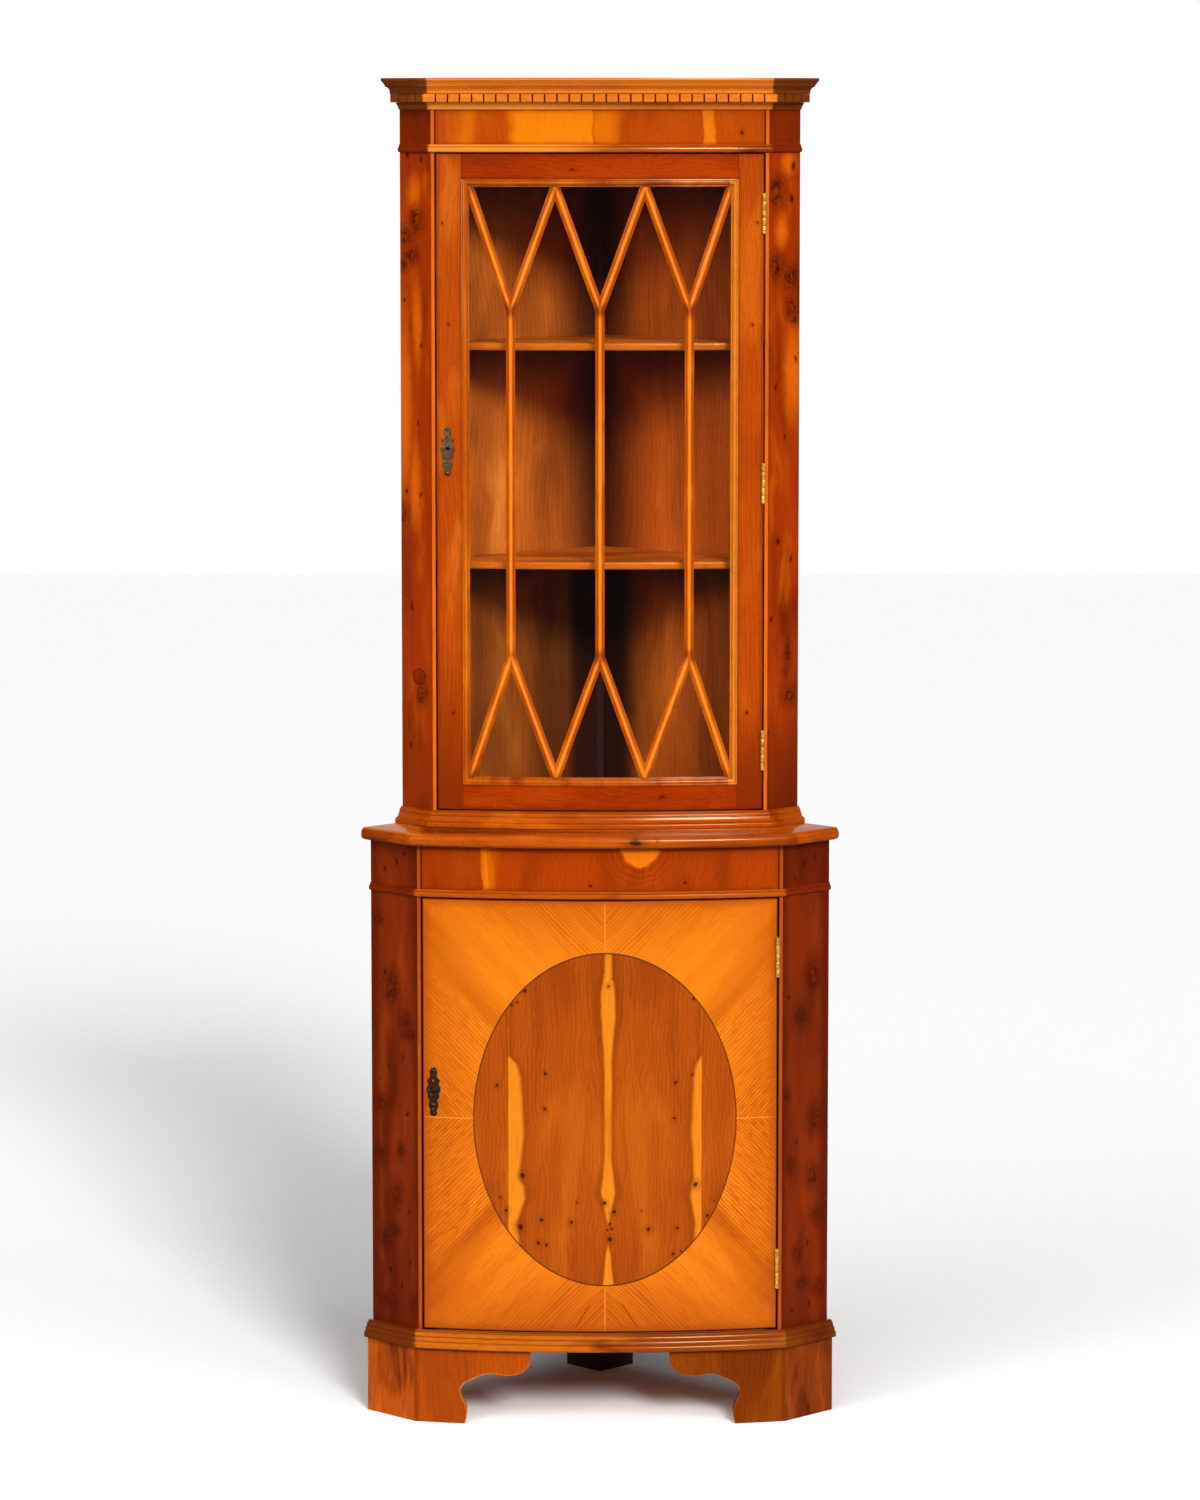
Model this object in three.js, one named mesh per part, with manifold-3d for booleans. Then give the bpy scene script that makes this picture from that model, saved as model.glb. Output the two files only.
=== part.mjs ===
// A bow-fronted corner cupboard in two stages: a glazed cupboard standing on a base with one door.
// Millimetres. X runs along the front, Y runs back into the corner of the room and Z is up.
import * as THREE from "three";
import { mergeVertices } from "three/addons/utils/BufferGeometryUtils.js";
import Module from "manifold-3d";

const wasm = await Module();
wasm.setup();

// Plan sizes. Both stages share the bow and the two walls, which meet behind the middle of the front.
const bowRadius = 1140;
const wallCornerY = 395;
const baseHalfFront = 259;
const upperHalfFront = 238;
const upperSetback = 67;
const edgeStripWidth = 6.5;
const bowSteps = 12;

// Heights, from the floor up.
const footHeight = 108;
const plinthMouldingHeight = 24.2;
const baseDoorHeight = 619;
const baseFriezeHeight = 73.2;
const waistThickness = 18;
const upperFootHeight = 23.2;
const upperDoorHeight = 926.1;
const upperFriezeHeight = 59.4;
const bedHeight = 10;
const dentilHeight = 11;
const corniceHeight = 22.1;
const friezeMouldingHeight = 11;
const corniceCover = 8;

// Board thicknesses.
const stileThickness = 18;
const panelThickness = 14;
const doorThickness = 20;
const friezeThickness = 18;
const bottomThickness = 18;
const topThickness = 13;
const baseShelfThickness = 16;
const glazedShelfThickness = 10.5;

// How far the mouldings stand out from the faces that carry them.
const plinthMouldingProud = 18;
const bracketProud = 10.5;
const friezeMouldingProud = 4;
const waistProud = 18.5;
const upperFootProud = 15;
const bedProud = 7;
const dentilProud = 18;
const dentilBackProud = 13;
const corniceProud = 36;

// Clearances.
const seat = 0.3;
const wallInset = 0.5;
const doorGap = 2;
const doorSideGap = 1.5;
const overrun = 5;

// Levels worked out from the heights.
const plinthMouldingZ = footHeight + seat;
const plinthTopZ = plinthMouldingZ + plinthMouldingHeight;
const baseDoorZ = plinthTopZ + doorGap;
const baseFriezeZ = baseDoorZ + baseDoorHeight + doorGap;
const baseTopZ = baseFriezeZ + baseFriezeHeight;
const waistZ = baseTopZ + seat;
const upperFootZ = waistZ + waistThickness + seat;
const upperFootTopZ = upperFootZ + upperFootHeight;
const upperDoorZ = upperFootTopZ + doorGap;
const upperFriezeZ = upperDoorZ + upperDoorHeight + doorGap;
const bedZ = upperFriezeZ + upperFriezeHeight + seat;
const dentilZ = bedZ + bedHeight + seat;
const corniceZ = dentilZ + dentilHeight + seat;
const totalHeight = corniceZ + corniceHeight;
const upperTopZ = totalHeight - corniceCover;

// The material of each kind of piece.
function finish(color, roughness, metalness = 0) {
  return new THREE.MeshStandardMaterial({ color, roughness, metalness });
}
const yewVeneer = finish(0xb85a17, 0.3);
const yewDark = finish(0x8a3508, 0.3);
const yewMoulding = finish(0xc8742c, 0.32);
const yewCrossbanded = finish(0xe08428, 0.3);
const interiorVeneer = finish(0xa5561f, 0.45);
const drawnGlass = finish(0xdfe6e2, 0.05);
drawnGlass.transparent = true;
drawnGlass.opacity = 0.3;
const brass = finish(0xb88a3c, 0.35, 1);
const agedBrass = finish(0x6b5a3c, 0.5, 1);
const lockSteel = finish(0x8d8a84, 0.45, 1);

const cupboard = new THREE.Group();

function addPiece(name, geometry, material) {
  const bare = geometry.index ? geometry.toNonIndexed() : geometry;
  bare.computeVertexNormals();
  const mesh = new THREE.Mesh(bare, material);
  mesh.name = name;
  cupboard.add(mesh);
}

// Solids from meshes, and meshes from solids, so that pieces can be joined and cut.
function solidOf(geometry) {
  const bare = geometry.clone();
  bare.deleteAttribute("normal");
  bare.deleteAttribute("uv");
  const merged = mergeVertices(bare);
  return new wasm.Manifold(
    new wasm.Mesh({
      numProp: 3,
      vertProperties: new Float32Array(merged.attributes.position.array),
      triVerts: new Uint32Array(merged.index.array),
    }),
  );
}

function geometryOf(solid) {
  const mesh = solid.getMesh();
  const geometry = new THREE.BufferGeometry();
  geometry.setAttribute("position", new THREE.BufferAttribute(mesh.vertProperties, 3));
  geometry.setIndex(new THREE.BufferAttribute(mesh.triVerts, 1));
  return geometry;
}

function join(pieces) {
  return geometryOf(pieces.map(solidOf).reduce((whole, piece) => whole.add(piece)));
}

function cut(piece, cutters) {
  const whole = solidOf(piece);
  return geometryOf(cutters.map(solidOf).reduce((rest, cutter) => rest.subtract(cutter), whole));
}

// Skins a row of rings with the same number of points. Ends are capped unless the row closes on itself.
function loft(rings, capOutline, closed = false) {
  const size = rings[0].length;
  const index = [];
  const spans = closed ? rings.length : rings.length - 1;
  for (let ring = 0; ring < spans; ring++) {
    const here = ring * size;
    const next = ((ring + 1) % rings.length) * size;
    for (let i = 0; i < size; i++) {
      const j = (i + 1) % size;
      index.push(here + i, here + j, next + j, here + i, next + j, next + i);
    }
  }
  if (!closed) {
    const turn = THREE.ShapeUtils.isClockWise(capOutline);
    const last = (rings.length - 1) * size;
    for (const [a, b, c] of THREE.ShapeUtils.triangulateShape(capOutline, [])) {
      const corners = [capOutline[a], capOutline[b], capOutline[c]];
      const same = THREE.ShapeUtils.isClockWise(corners) === turn;
      const [p, q, r] = same ? [a, b, c] : [a, c, b];
      index.push(p, r, q, last + p, last + q, last + r);
    }
  }
  const points = rings.flat();
  let volume = 0;
  for (let i = 0; i < index.length; i += 3) {
    const [a, b, c] = [points[index[i]], points[index[i + 1]], points[index[i + 2]]];
    volume += a.dot(new THREE.Vector3().crossVectors(b, c));
  }
  if (volume < 0) index.reverse();
  const geometry = new THREE.BufferGeometry().setFromPoints(points);
  geometry.setIndex(index);
  return geometry;
}

function atHeight(outline, z) {
  return outline.map((point) => new THREE.Vector3(point.x, point.y, z));
}

// A flat board: one plan outline between two levels.
function board(outline, lowZ, highZ) {
  return loft([atHeight(outline, lowZ), atHeight(outline, highZ)], outline);
}

function block(lowX, highX, lowY, highY, lowZ, highZ) {
  const box = new THREE.BoxGeometry(highX - lowX, highY - lowY, highZ - lowZ);
  return box.translate((lowX + highX) / 2, (lowY + highY) / 2, (lowZ + highZ) / 2);
}

function upright(radius, x, y, lowZ, highZ, sides) {
  const rod = new THREE.CylinderGeometry(radius, radius, highZ - lowZ, sides);
  return rod.rotateX(Math.PI / 2).translate(x, y, (lowZ + highZ) / 2);
}

// One stage in plan: the bow's centre, and how far along the wall its canted face stands from the corner.
function makeStage(halfFront, cornerY) {
  const centreY = cornerY + Math.sqrt(bowRadius ** 2 - halfFront ** 2);
  const cantAlong = (halfFront - cornerY + wallCornerY) * Math.SQRT1_2;
  const openingHalf = halfFront - edgeStripWidth;
  return { centreY, cantAlong, openingHalf, doorHalf: openingHalf - doorSideGap };
}
const baseStage = makeStage(baseHalfFront, 0);
const upperStage = makeStage(upperHalfFront, upperSetback);

// A plan point by its distance along a wall from the room's corner and its depth out from that wall.
function besideWall(along, depth, side) {
  const x = (along - depth) * Math.SQRT1_2;
  const y = wallCornerY - (along + depth) * Math.SQRT1_2;
  return new THREE.Vector2(side * x, y);
}

// A plan point on the bow, moved out by proud.
function onBow(stage, x, proud) {
  return new THREE.Vector2(x, stage.centreY - Math.sqrt((bowRadius + proud) ** 2 - x ** 2));
}

// Where the bow, moved out by bowProud, meets the right cant, moved out by cantProud.
function bowMeetsCant(stage, bowProud, cantProud) {
  const lead = (stage.cantAlong + cantProud) * Math.SQRT2 - wallCornerY;
  const radius = bowRadius + bowProud;
  const middle = (stage.centreY - lead) / 2;
  const spread = middle ** 2 - (lead ** 2 + stage.centreY ** 2 - radius ** 2) / 2;
  const y = middle - Math.sqrt(spread);
  return new THREE.Vector2(y + lead, y);
}

// The bow between two places along X, in even steps.
function bowLine(stage, fromX, toX, proud, steps = bowSteps) {
  const step = (toX - fromX) / steps;
  return Array.from({ length: steps + 1 }, (_, i) => onBow(stage, fromX + step * i, proud));
}

// The whole front in plan from the left wall round to the right one: cant, bow, cant.
function frontLine(stage, proud) {
  const corner = bowMeetsCant(stage, proud, proud);
  const along = stage.cantAlong + proud;
  return [
    besideWall(along, wallInset, -1),
    ...bowLine(stage, -corner.x, corner.x, proud),
    besideWall(along, wallInset, 1),
  ];
}

// A bowed board in plan, between two places along X and two distances out from the bow.
function bandOutline(stage, fromX, toX, outerProud, innerProud, steps = bowSteps) {
  return [
    ...bowLine(stage, fromX, toX, outerProud, steps),
    ...bowLine(stage, toX, fromX, innerProud, steps),
  ];
}

// A moulding run: the profile is carried round the whole front and cut off at the walls.
// Shares give the profile's face, bottom to top, as parts of its projection and its height.
function mouldingRun(stage, shares, proud, lowZ, height) {
  const face = shares.map(([out, up]) => new THREE.Vector2(out * proud, lowZ + up * height));
  const profile = [...face, new THREE.Vector2(seat, lowZ + height), new THREE.Vector2(seat, lowZ)];
  const lines = profile.map((point) => atHeight(frontLine(stage, point.x), point.y));
  const rings = lines[0].map((_, station) => lines.map((line) => line[station]));
  return loft(rings, profile);
}

const plinthMouldingShares = [
  [1, 0], [1, 0.18], [0.94, 0.3], [0.82, 0.42], [0.78, 0.48], [0.72, 0.62], [0.64, 0.68], [0.6, 0.84],
  [0.5, 0.9], [0.4, 1],
];
const friezeMouldingShares = [[0.55, 0], [0.9, 0.12], [1, 0.35], [0.9, 0.58], [0.55, 0.68], [0.5, 1]];
const upperFootShares = [
  [1, 0], [1, 0.2], [0.86, 0.3], [0.66, 0.4], [0.52, 0.55], [0.46, 0.7], [0.38, 0.72], [0.38, 0.84],
  [0.3, 0.95], [0.2, 1],
];
const bedShares = [[0.28, 0], [0.36, 0.3], [0.6, 0.55], [0.76, 0.62], [0.76, 0.78], [1, 0.82], [1, 1]];
const corniceShares = [
  [0.5, 0], [0.53, 0.08], [0.58, 0.26], [0.68, 0.42], [0.78, 0.5], [0.8, 0.56], [0.84, 0.7], [0.94, 0.82],
  [1, 0.85], [1, 1],
];
const waistShares = [[0.6, 0], [0.86, 0.1], [1, 0.32], [1, 0.66], [0.84, 0.9], [0.66, 1]];

// The canted stile: a board square to the wall whose front edge carries a narrow strip beside the door.
function stileOutline(stage, side) {
  const back = stage.cantAlong - stileThickness;
  const lead = back * Math.SQRT2 - wallCornerY;
  const strip = onBow(stage, stage.openingHalf, 0);
  const outline = [
    strip,
    bowMeetsCant(stage, 0, 0),
    besideWall(stage.cantAlong, wallInset, 1),
    besideWall(back, wallInset, 1),
    new THREE.Vector2(stage.openingHalf, stage.openingHalf - lead),
  ];
  return outline.map((point) => new THREE.Vector2(side * point.x, point.y));
}

// A back panel lies on its wall from the stile to the room's corner, where the two are mitred.
function panelOutline(stage, side) {
  const end = stage.cantAlong - stileThickness - seat;
  return [
    besideWall(seat, 0, side),
    besideWall(end, 0, side),
    besideWall(end, panelThickness, side),
    besideWall(panelThickness + seat, panelThickness, side),
  ];
}

// The corner inside the back panels, where a batten covers the mitre.
const battenDepth = 5;
const innerCornerY = wallCornerY - (panelThickness + seat) * Math.SQRT2;

// A board inside a stage: its front follows the bow, and its back fits between the panels.
function insideOutline(stage, frontProud, cornerCut) {
  const back = -stileThickness - seat;
  const inner = bowMeetsCant(stage, frontProud, back);
  const frontX = Math.min(stage.openingHalf - seat, inner.x);
  const lead = (stage.cantAlong + back) * Math.SQRT2 - wallCornerY;
  const right = [besideWall(stage.cantAlong + back, panelThickness + seat, 1)];
  if (frontX < inner.x) right.unshift(new THREE.Vector2(frontX, frontX - lead));
  if (cornerCut > 0) right.push(new THREE.Vector2(cornerCut, innerCornerY - cornerCut));
  const left = right.map((point) => new THREE.Vector2(-point.x, point.y)).reverse();
  const corner = cornerCut > 0 ? [] : [new THREE.Vector2(0, innerCornerY)];
  return [...bowLine(stage, -frontX, frontX, frontProud), ...right, ...corner, ...left];
}

// Butt hinges. The pin stands in front of the face, over the gap between door and stile.
const hingeLength = 57;
const hingeKnuckles = 5;
const knuckleRadius = 2.75;
const pinRadius = 1.2;
const pinBoreRadius = 1.5;
const pinStand = 3.3;
const leafThickness = 1.2;
const leafDepth = 19;
const knuckleSides = 8;
const baseHingeShares = [0.139, 0.864];
const upperHingeShares = [0.09, 0.5, 0.91];

function hingePlace(stage) {
  const x = stage.openingHalf - doorSideGap / 2;
  return { x, y: onBow(stage, stage.doorHalf, 0).y - pinStand };
}

// One leaf: side 1 is screwed to the stile and keeps the pin, side -1 to the door and turns on it.
function hingeLeaf(stage, middleZ, side) {
  const pin = hingePlace(stage);
  const lowZ = middleZ - hingeLength / 2;
  const pitch = hingeLength / hingeKnuckles;
  const near = seat / 2;
  const far = near + leafThickness;
  const sides = side > 0 ? [near, far] : [-far, -near];
  const leafFrontY = pin.y + knuckleRadius + seat;
  const leafBackY = pin.y + leafDepth;
  const plate = block(pin.x + sides[0], pin.x + sides[1], leafFrontY, leafBackY, lowZ, lowZ + hingeLength);
  const pieces = [plate];
  for (let knuckle = side > 0 ? 0 : 1; knuckle < hingeKnuckles; knuckle += 2) {
    const bottom = lowZ + knuckle * pitch + seat / 2;
    const top = lowZ + (knuckle + 1) * pitch - seat / 2;
    const tab = block(pin.x + sides[0], pin.x + sides[1], pin.y, leafFrontY + seat, bottom, top);
    pieces.push(tab, upright(knuckleRadius, pin.x, pin.y, bottom, top, knuckleSides));
  }
  const pinBottom = lowZ + seat;
  const pinTop = lowZ + hingeLength - seat;
  if (side > 0) return join([...pieces, upright(pinRadius, pin.x, pin.y, pinBottom, pinTop, knuckleSides)]);
  const bore = upright(pinBoreRadius, pin.x, pin.y, lowZ, lowZ + hingeLength, knuckleSides);
  return cut(join(pieces), [bore]);
}

// The shallow recess that lets both leaves into the edges of door and stile.
function hingeRecess(stage, middleZ) {
  const pin = hingePlace(stage);
  const half = seat / 2 + leafThickness + seat;
  const reach = hingeLength / 2 + seat;
  return block(
    pin.x - half, pin.x + half, pin.y, pin.y + leafDepth + seat, middleZ - reach, middleZ + reach,
  );
}

function hingeHeights(doorZ, doorHeight, shares) {
  return shares.map((share) => doorZ + share * doorHeight);
}
const baseHinges = hingeHeights(baseDoorZ, baseDoorHeight, baseHingeShares);
const upperHinges = hingeHeights(upperDoorZ, upperDoorHeight, upperHingeShares);

// Locks. The case is let into the back of the door at its free edge, and its bolt shoots into the stile.
const lockBackset = 15;
const lockWidth = 30;
const lockThickness = 9;
const lockCover = 5;
const lockBelowKey = 13;
const lockAboveKey = 26;
const boltBelow = 9;
const boltHeight = 12;
const boltThickness = 4.4;
const boltLength = 15;
const boltMortiseDepth = 7.5;
const keyholeBore = 2.9;
const baseKeyAbove = 345.5;
const upperKeyAbove = 512.5;
const baseKeyZ = baseDoorZ + baseKeyAbove;
const upperKeyZ = upperDoorZ + upperKeyAbove;

function lockPlace(stage, keyZ) {
  const edgeX = -stage.doorHalf;
  const frontY = onBow(stage, stage.doorHalf, 0).y + lockCover;
  return { edgeX, keyX: edgeX + lockBackset, keyZ, frontY, middleY: frontY + lockThickness / 2 };
}
const baseLock = lockPlace(baseStage, baseKeyZ);
const upperLock = lockPlace(upperStage, upperKeyZ);

// Moves a drawing, made with X along the face, Y up and Z out of it, on to the bow at the keyhole.
function onFace(geometry, stage, x, z, proud) {
  const angle = Math.asin(x / bowRadius);
  const out = new THREE.Vector3(Math.sin(angle), -Math.cos(angle), 0);
  const across = new THREE.Vector3(Math.cos(angle), Math.sin(angle), 0);
  const place = new THREE.Matrix4().makeBasis(across, new THREE.Vector3(0, 0, 1), out);
  const point = onBow(stage, x, 0);
  place.setPosition(point.x + out.x * proud, point.y + out.y * proud, z);
  return geometry.applyMatrix4(place);
}

function rodOut(radius, fromProud, toProud, sides) {
  const rod = new THREE.CylinderGeometry(radius, radius, toProud - fromProud, sides);
  return rod.rotateX(Math.PI / 2).translate(0, 0, (fromProud + toProud) / 2);
}

function keyBore(stage, lock, radius) {
  return onFace(rodOut(radius, -doorThickness, overrun, knuckleSides), stage, lock.keyX, lock.keyZ, 0);
}

function lockPocket(stage, lock) {
  return block(
    lock.edgeX - overrun, lock.edgeX + lockWidth + seat,
    lock.frontY - seat, lock.frontY + doorThickness,
    lock.keyZ - lockBelowKey - seat, lock.keyZ + lockAboveKey + seat,
  );
}

function boltBlock(lock, fromX, toX, ease) {
  const halfThickness = boltThickness / 2 + ease;
  const lowZ = lock.keyZ + boltBelow;
  return block(
    fromX, toX, lock.middleY - halfThickness, lock.middleY + halfThickness,
    lowZ - ease, lowZ + boltHeight + ease,
  );
}

const wardRadius = 6;
const wardHalfLength = 2.4;

// How far behind the face, along the keyhole, the middle of the lock case lies.
function wardProudOf(stage, lock) {
  const slant = Math.cos(Math.asin(lock.keyX / bowRadius));
  return (onBow(stage, lock.keyX, 0).y - lock.middleY) / slant;
}

function lockCase(stage, lock) {
  const wardProud = wardProudOf(stage, lock);
  const body = block(
    lock.edgeX + seat, lock.edgeX + lockWidth, lock.frontY, lock.frontY + lockThickness,
    lock.keyZ - lockBelowKey, lock.keyZ + lockAboveKey,
  );
  const channel = boltBlock(lock, lock.edgeX - overrun, lock.edgeX + seat + boltLength + seat, seat);
  const ward = rodOut(wardRadius, wardProud - wardHalfLength, wardProud + wardHalfLength, knuckleSides);
  const shank = rodOut(keyholeBore, wardProud, overrun, knuckleSides);
  return cut(body, [
    channel,
    onFace(ward, stage, lock.keyX, lock.keyZ, 0),
    onFace(shank, stage, lock.keyX, lock.keyZ, 0),
  ]);
}

function lockBolt(lock) {
  return boltBlock(lock, lock.edgeX + seat, lock.edgeX + seat + boltLength, 0);
}

function boltMortise(stage, lock) {
  return boltBlock(lock, -stage.openingHalf - boltMortiseDepth, -stage.openingHalf + overrun, 2 * seat);
}

// The cast escutcheon: shares of its half width and height give the outline of its right side.
const escutcheonHeight = 70;
const escutcheonHalfWidth = 10;
const escutcheonThickness = 1.5;
const keyholeAboveFoot = 38;
const escutcheonSideShares = [
  [0.2, 0], [0.42, 0.03], [0.5, 0.08], [0.36, 0.13], [0.62, 0.17], [0.74, 0.23], [0.56, 0.3], [0.5, 0.35],
  [0.78, 0.4], [0.7, 0.46], [0.96, 0.5], [1, 0.55], [0.82, 0.6], [0.78, 0.66], [0.92, 0.72], [0.6, 0.78],
  [0.46, 0.84], [0.56, 0.89], [0.4, 0.95], [0.18, 1],
];
const escutcheonPinShares = [0.06, 0.93];
const escutcheonRingShares = [[0.145, 0.2], [0.245, 0.28]];
const escutcheonPinRadius = 3;
const escutcheonPinTipRadius = 1.5;
const escutcheonPinHeight = 3;
const keyholeRadius = 2.7;
const keyholeSlotWidth = 2.4;
const keyholeSlotDrop = 7;
const trianglePierceShares = [[-0.3, 0.7], [0.3, 0.7], [0, 0.79]];

function escutcheon(stage, lock) {
  const at = ([across, up]) =>
    new THREE.Vector2(across * escutcheonHalfWidth, up * escutcheonHeight - keyholeAboveFoot);
  const right = escutcheonSideShares.map(at);
  const left = right.map((point) => new THREE.Vector2(-point.x, point.y)).reverse();
  const plate = new THREE.Shape([...right, ...left]);
  plate.holes.push(new THREE.Path(trianglePierceShares.map(at)));
  for (const [up, across] of escutcheonRingShares) {
    const middle = at([0, up]);
    const radius = across * escutcheonHalfWidth;
    plate.holes.push(new THREE.Path().absarc(middle.x, middle.y, radius, 0, 2 * Math.PI));
  }
  const curves = { depth: escutcheonThickness, bevelEnabled: false, curveSegments: 6 };
  const blank = new THREE.ExtrudeGeometry(plate, curves);
  const slot = block(
    -keyholeSlotWidth / 2, keyholeSlotWidth / 2, -keyholeSlotDrop, 0, -overrun, overrun,
  );
  const domes = escutcheonPinShares.map((up) => {
    const dome = new THREE.CylinderGeometry(
      escutcheonPinTipRadius, escutcheonPinRadius, escutcheonPinHeight, knuckleSides,
    );
    const rise = escutcheonPinHeight / 2 + seat;
    return dome.rotateX(Math.PI / 2).translate(0, at([0, up]).y, rise);
  });
  const pierced = cut(blank, [slot, rodOut(keyholeRadius, -overrun, overrun, knuckleSides)]);
  return onFace(join([pierced, ...domes]), stage, lock.keyX, lock.keyZ, seat);
}

// The key stands in the base door's lock: shank, bit and a flat pierced bow seen edge on.
const keyShankRadius = 2;
const keyBitReach = 5.2;
const keyBitHalfLength = 1.8;
const keyBitThickness = 2;
const keyShankOut = 14;
const keyBowHalfHeight = 11;
const keyBowHalfDepth = 9;
const keyBowThickness = 2.6;
const keyBowRim = 3;

function key(stage, lock) {
  const wardProud = wardProudOf(stage, lock);
  const shank = rodOut(keyShankRadius, wardProud - keyBitHalfLength, keyShankOut, knuckleSides);
  const bit = block(
    -keyBitThickness / 2, keyBitThickness / 2, -keyBitReach, 0,
    wardProud - keyBitHalfLength, wardProud + keyBitHalfLength,
  );
  const rim = new THREE.Shape().absellipse(0, 0, keyBowHalfDepth, keyBowHalfHeight, 0, 2 * Math.PI);
  const eye = new THREE.Path();
  eye.absellipse(0, 0, keyBowHalfDepth - keyBowRim, keyBowHalfHeight - keyBowRim, 0, 2 * Math.PI);
  rim.holes.push(eye);
  const bow = new THREE.ExtrudeGeometry(rim, {
    depth: keyBowThickness, bevelEnabled: false, curveSegments: 8,
  });
  bow.translate(0, 0, -keyBowThickness / 2).rotateY(Math.PI / 2);
  bow.translate(0, 0, keyShankOut + keyBowHalfDepth - keyBowRim / 2);
  return onFace(join([shank, bit, bow]), stage, lock.keyX, lock.keyZ, 0);
}

// Base: bracket feet under the plinth moulding.
// Shares of the bracket's run and height give the sawn edge, from the foot's inner toe up to the tip.
const bracketRun = 160;
const bracketThickness = 20;
const bracketSawShares = [
  [0.415, 0], [0.435, 0.16], [0.38, 0.38], [0.375, 0.46], [0.41, 0.54], [0.54, 0.64], [0.62, 0.68],
  [0.76, 0.665], [0.9, 0.69], [0.975, 0.78], [1, 0.87], [0.995, 1],
];

function bracketFront(side) {
  const outer = bowMeetsCant(baseStage, bracketProud, bracketProud);
  const inner = bowMeetsCant(baseStage, bracketProud - bracketThickness, bracketProud - bracketThickness);
  const tipX = baseHalfFront - bracketRun;
  const steps = bowSteps / 2;
  const outline = [
    ...bowLine(baseStage, tipX, outer.x - seat, bracketProud, steps),
    ...bowLine(baseStage, inner.x - seat, tipX, bracketProud - bracketThickness, steps),
  ];
  const saw = bracketSawShares.map(
    ([run, up]) => new THREE.Vector2(baseHalfFront - run * bracketRun, up * footHeight),
  );
  saw.push(new THREE.Vector2(tipX - overrun, footHeight + overrun));
  saw.push(new THREE.Vector2(tipX - overrun, -overrun));
  saw.push(new THREE.Vector2(saw[0].x, -overrun));
  const reach = baseHalfFront;
  const waste = loft(
    [-reach, reach].map((y) => saw.map((point) => new THREE.Vector3(point.x, y, point.y))), saw,
  );
  const bracket = cut(board(outline, 0, footHeight), [waste]);
  return side > 0 ? bracket : mirrored(bracket);
}

function mirrored(geometry) {
  const flipped = geometry.toNonIndexed().applyMatrix4(new THREE.Matrix4().makeScale(-1, 1, 1));
  const position = flipped.attributes.position;
  for (let i = 0; i < position.count; i += 3) {
    const last = new THREE.Vector3().fromBufferAttribute(position, i + 2);
    const middle = new THREE.Vector3().fromBufferAttribute(position, i + 1);
    position.setXYZ(i + 1, last.x, last.y, last.z);
    position.setXYZ(i + 2, middle.x, middle.y, middle.z);
  }
  return flipped;
}

function plinthReturn(side) {
  const innerProud = bracketProud - bracketThickness;
  const outline = [
    bowMeetsCant(baseStage, bracketProud, bracketProud),
    besideWall(baseStage.cantAlong + bracketProud, wallInset, 1),
    besideWall(baseStage.cantAlong + innerProud, wallInset, 1),
    bowMeetsCant(baseStage, innerProud, innerProud),
  ];
  return board(outline.map((point) => new THREE.Vector2(side * point.x, point.y)), 0, footHeight);
}

const rearFootWidth = 70;
const sides = { left: -1, right: 1 };
for (const [word, side] of Object.entries(sides)) {
  addPiece(word + "_bracket_foot", bracketFront(side), yewVeneer);
  addPiece(word + "_plinth_return", plinthReturn(side), yewVeneer);
}
const rearFoot = [
  besideWall(wallInset, wallInset, 1),
  besideWall(rearFootWidth, wallInset, 1),
  besideWall(rearFootWidth, rearFootWidth, 1),
  besideWall(rearFootWidth, wallInset, -1),
];
addPiece("rear_foot", board(rearFoot, 0, footHeight), interiorVeneer);
addPiece(
  "plinth_moulding",
  mouldingRun(baseStage, plinthMouldingShares, plinthMouldingProud, plinthMouldingZ, plinthMouldingHeight),
  yewMoulding,
);

// Base carcass.
for (const [word, side] of Object.entries(sides)) {
  const stile = board(stileOutline(baseStage, side), plinthMouldingZ, baseTopZ);
  const recesses = side > 0
    ? baseHinges.map((z) => hingeRecess(baseStage, z))
    : [boltMortise(baseStage, baseLock)];
  addPiece("base_" + word + "_stile", cut(stile, recesses), yewDark);
  const panel = board(panelOutline(baseStage, side), plinthMouldingZ, baseTopZ);
  addPiece("base_" + word + "_back_panel", panel, interiorVeneer);
}
const shelfSetback = 34;
const baseShelfAbove = 287.5;
const baseShelfZ = plinthTopZ + baseShelfAbove;
addPiece(
  "base_bottom_board",
  board(insideOutline(baseStage, 0, 0), plinthTopZ - bottomThickness, plinthTopZ),
  interiorVeneer,
);
addPiece(
  "base_shelf",
  board(insideOutline(baseStage, -shelfSetback, 0), baseShelfZ, baseShelfZ + baseShelfThickness),
  interiorVeneer,
);

function frieze(stage, lowZ, highZ) {
  const halfWidth = stage.openingHalf - seat;
  return board(bandOutline(stage, -halfWidth, halfWidth, 0, -friezeThickness), lowZ, highZ);
}
addPiece("base_frieze", frieze(baseStage, baseFriezeZ, baseTopZ), yewVeneer);
addPiece(
  "base_frieze_moulding",
  mouldingRun(baseStage, friezeMouldingShares, friezeMouldingProud, baseFriezeZ, friezeMouldingHeight),
  yewDark,
);

// The waist board: one board over the whole base, with a rounded front edge.
const rearPoint = besideWall(wallInset, wallInset, 1);
const waistRings = waistShares.map(([out, up]) =>
  atHeight([...frontLine(baseStage, out * waistProud), rearPoint], waistZ + up * waistThickness),
);
addPiece("waist_board", loft(waistRings, [...frontLine(baseStage, waistProud), rearPoint]), yewVeneer);

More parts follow.
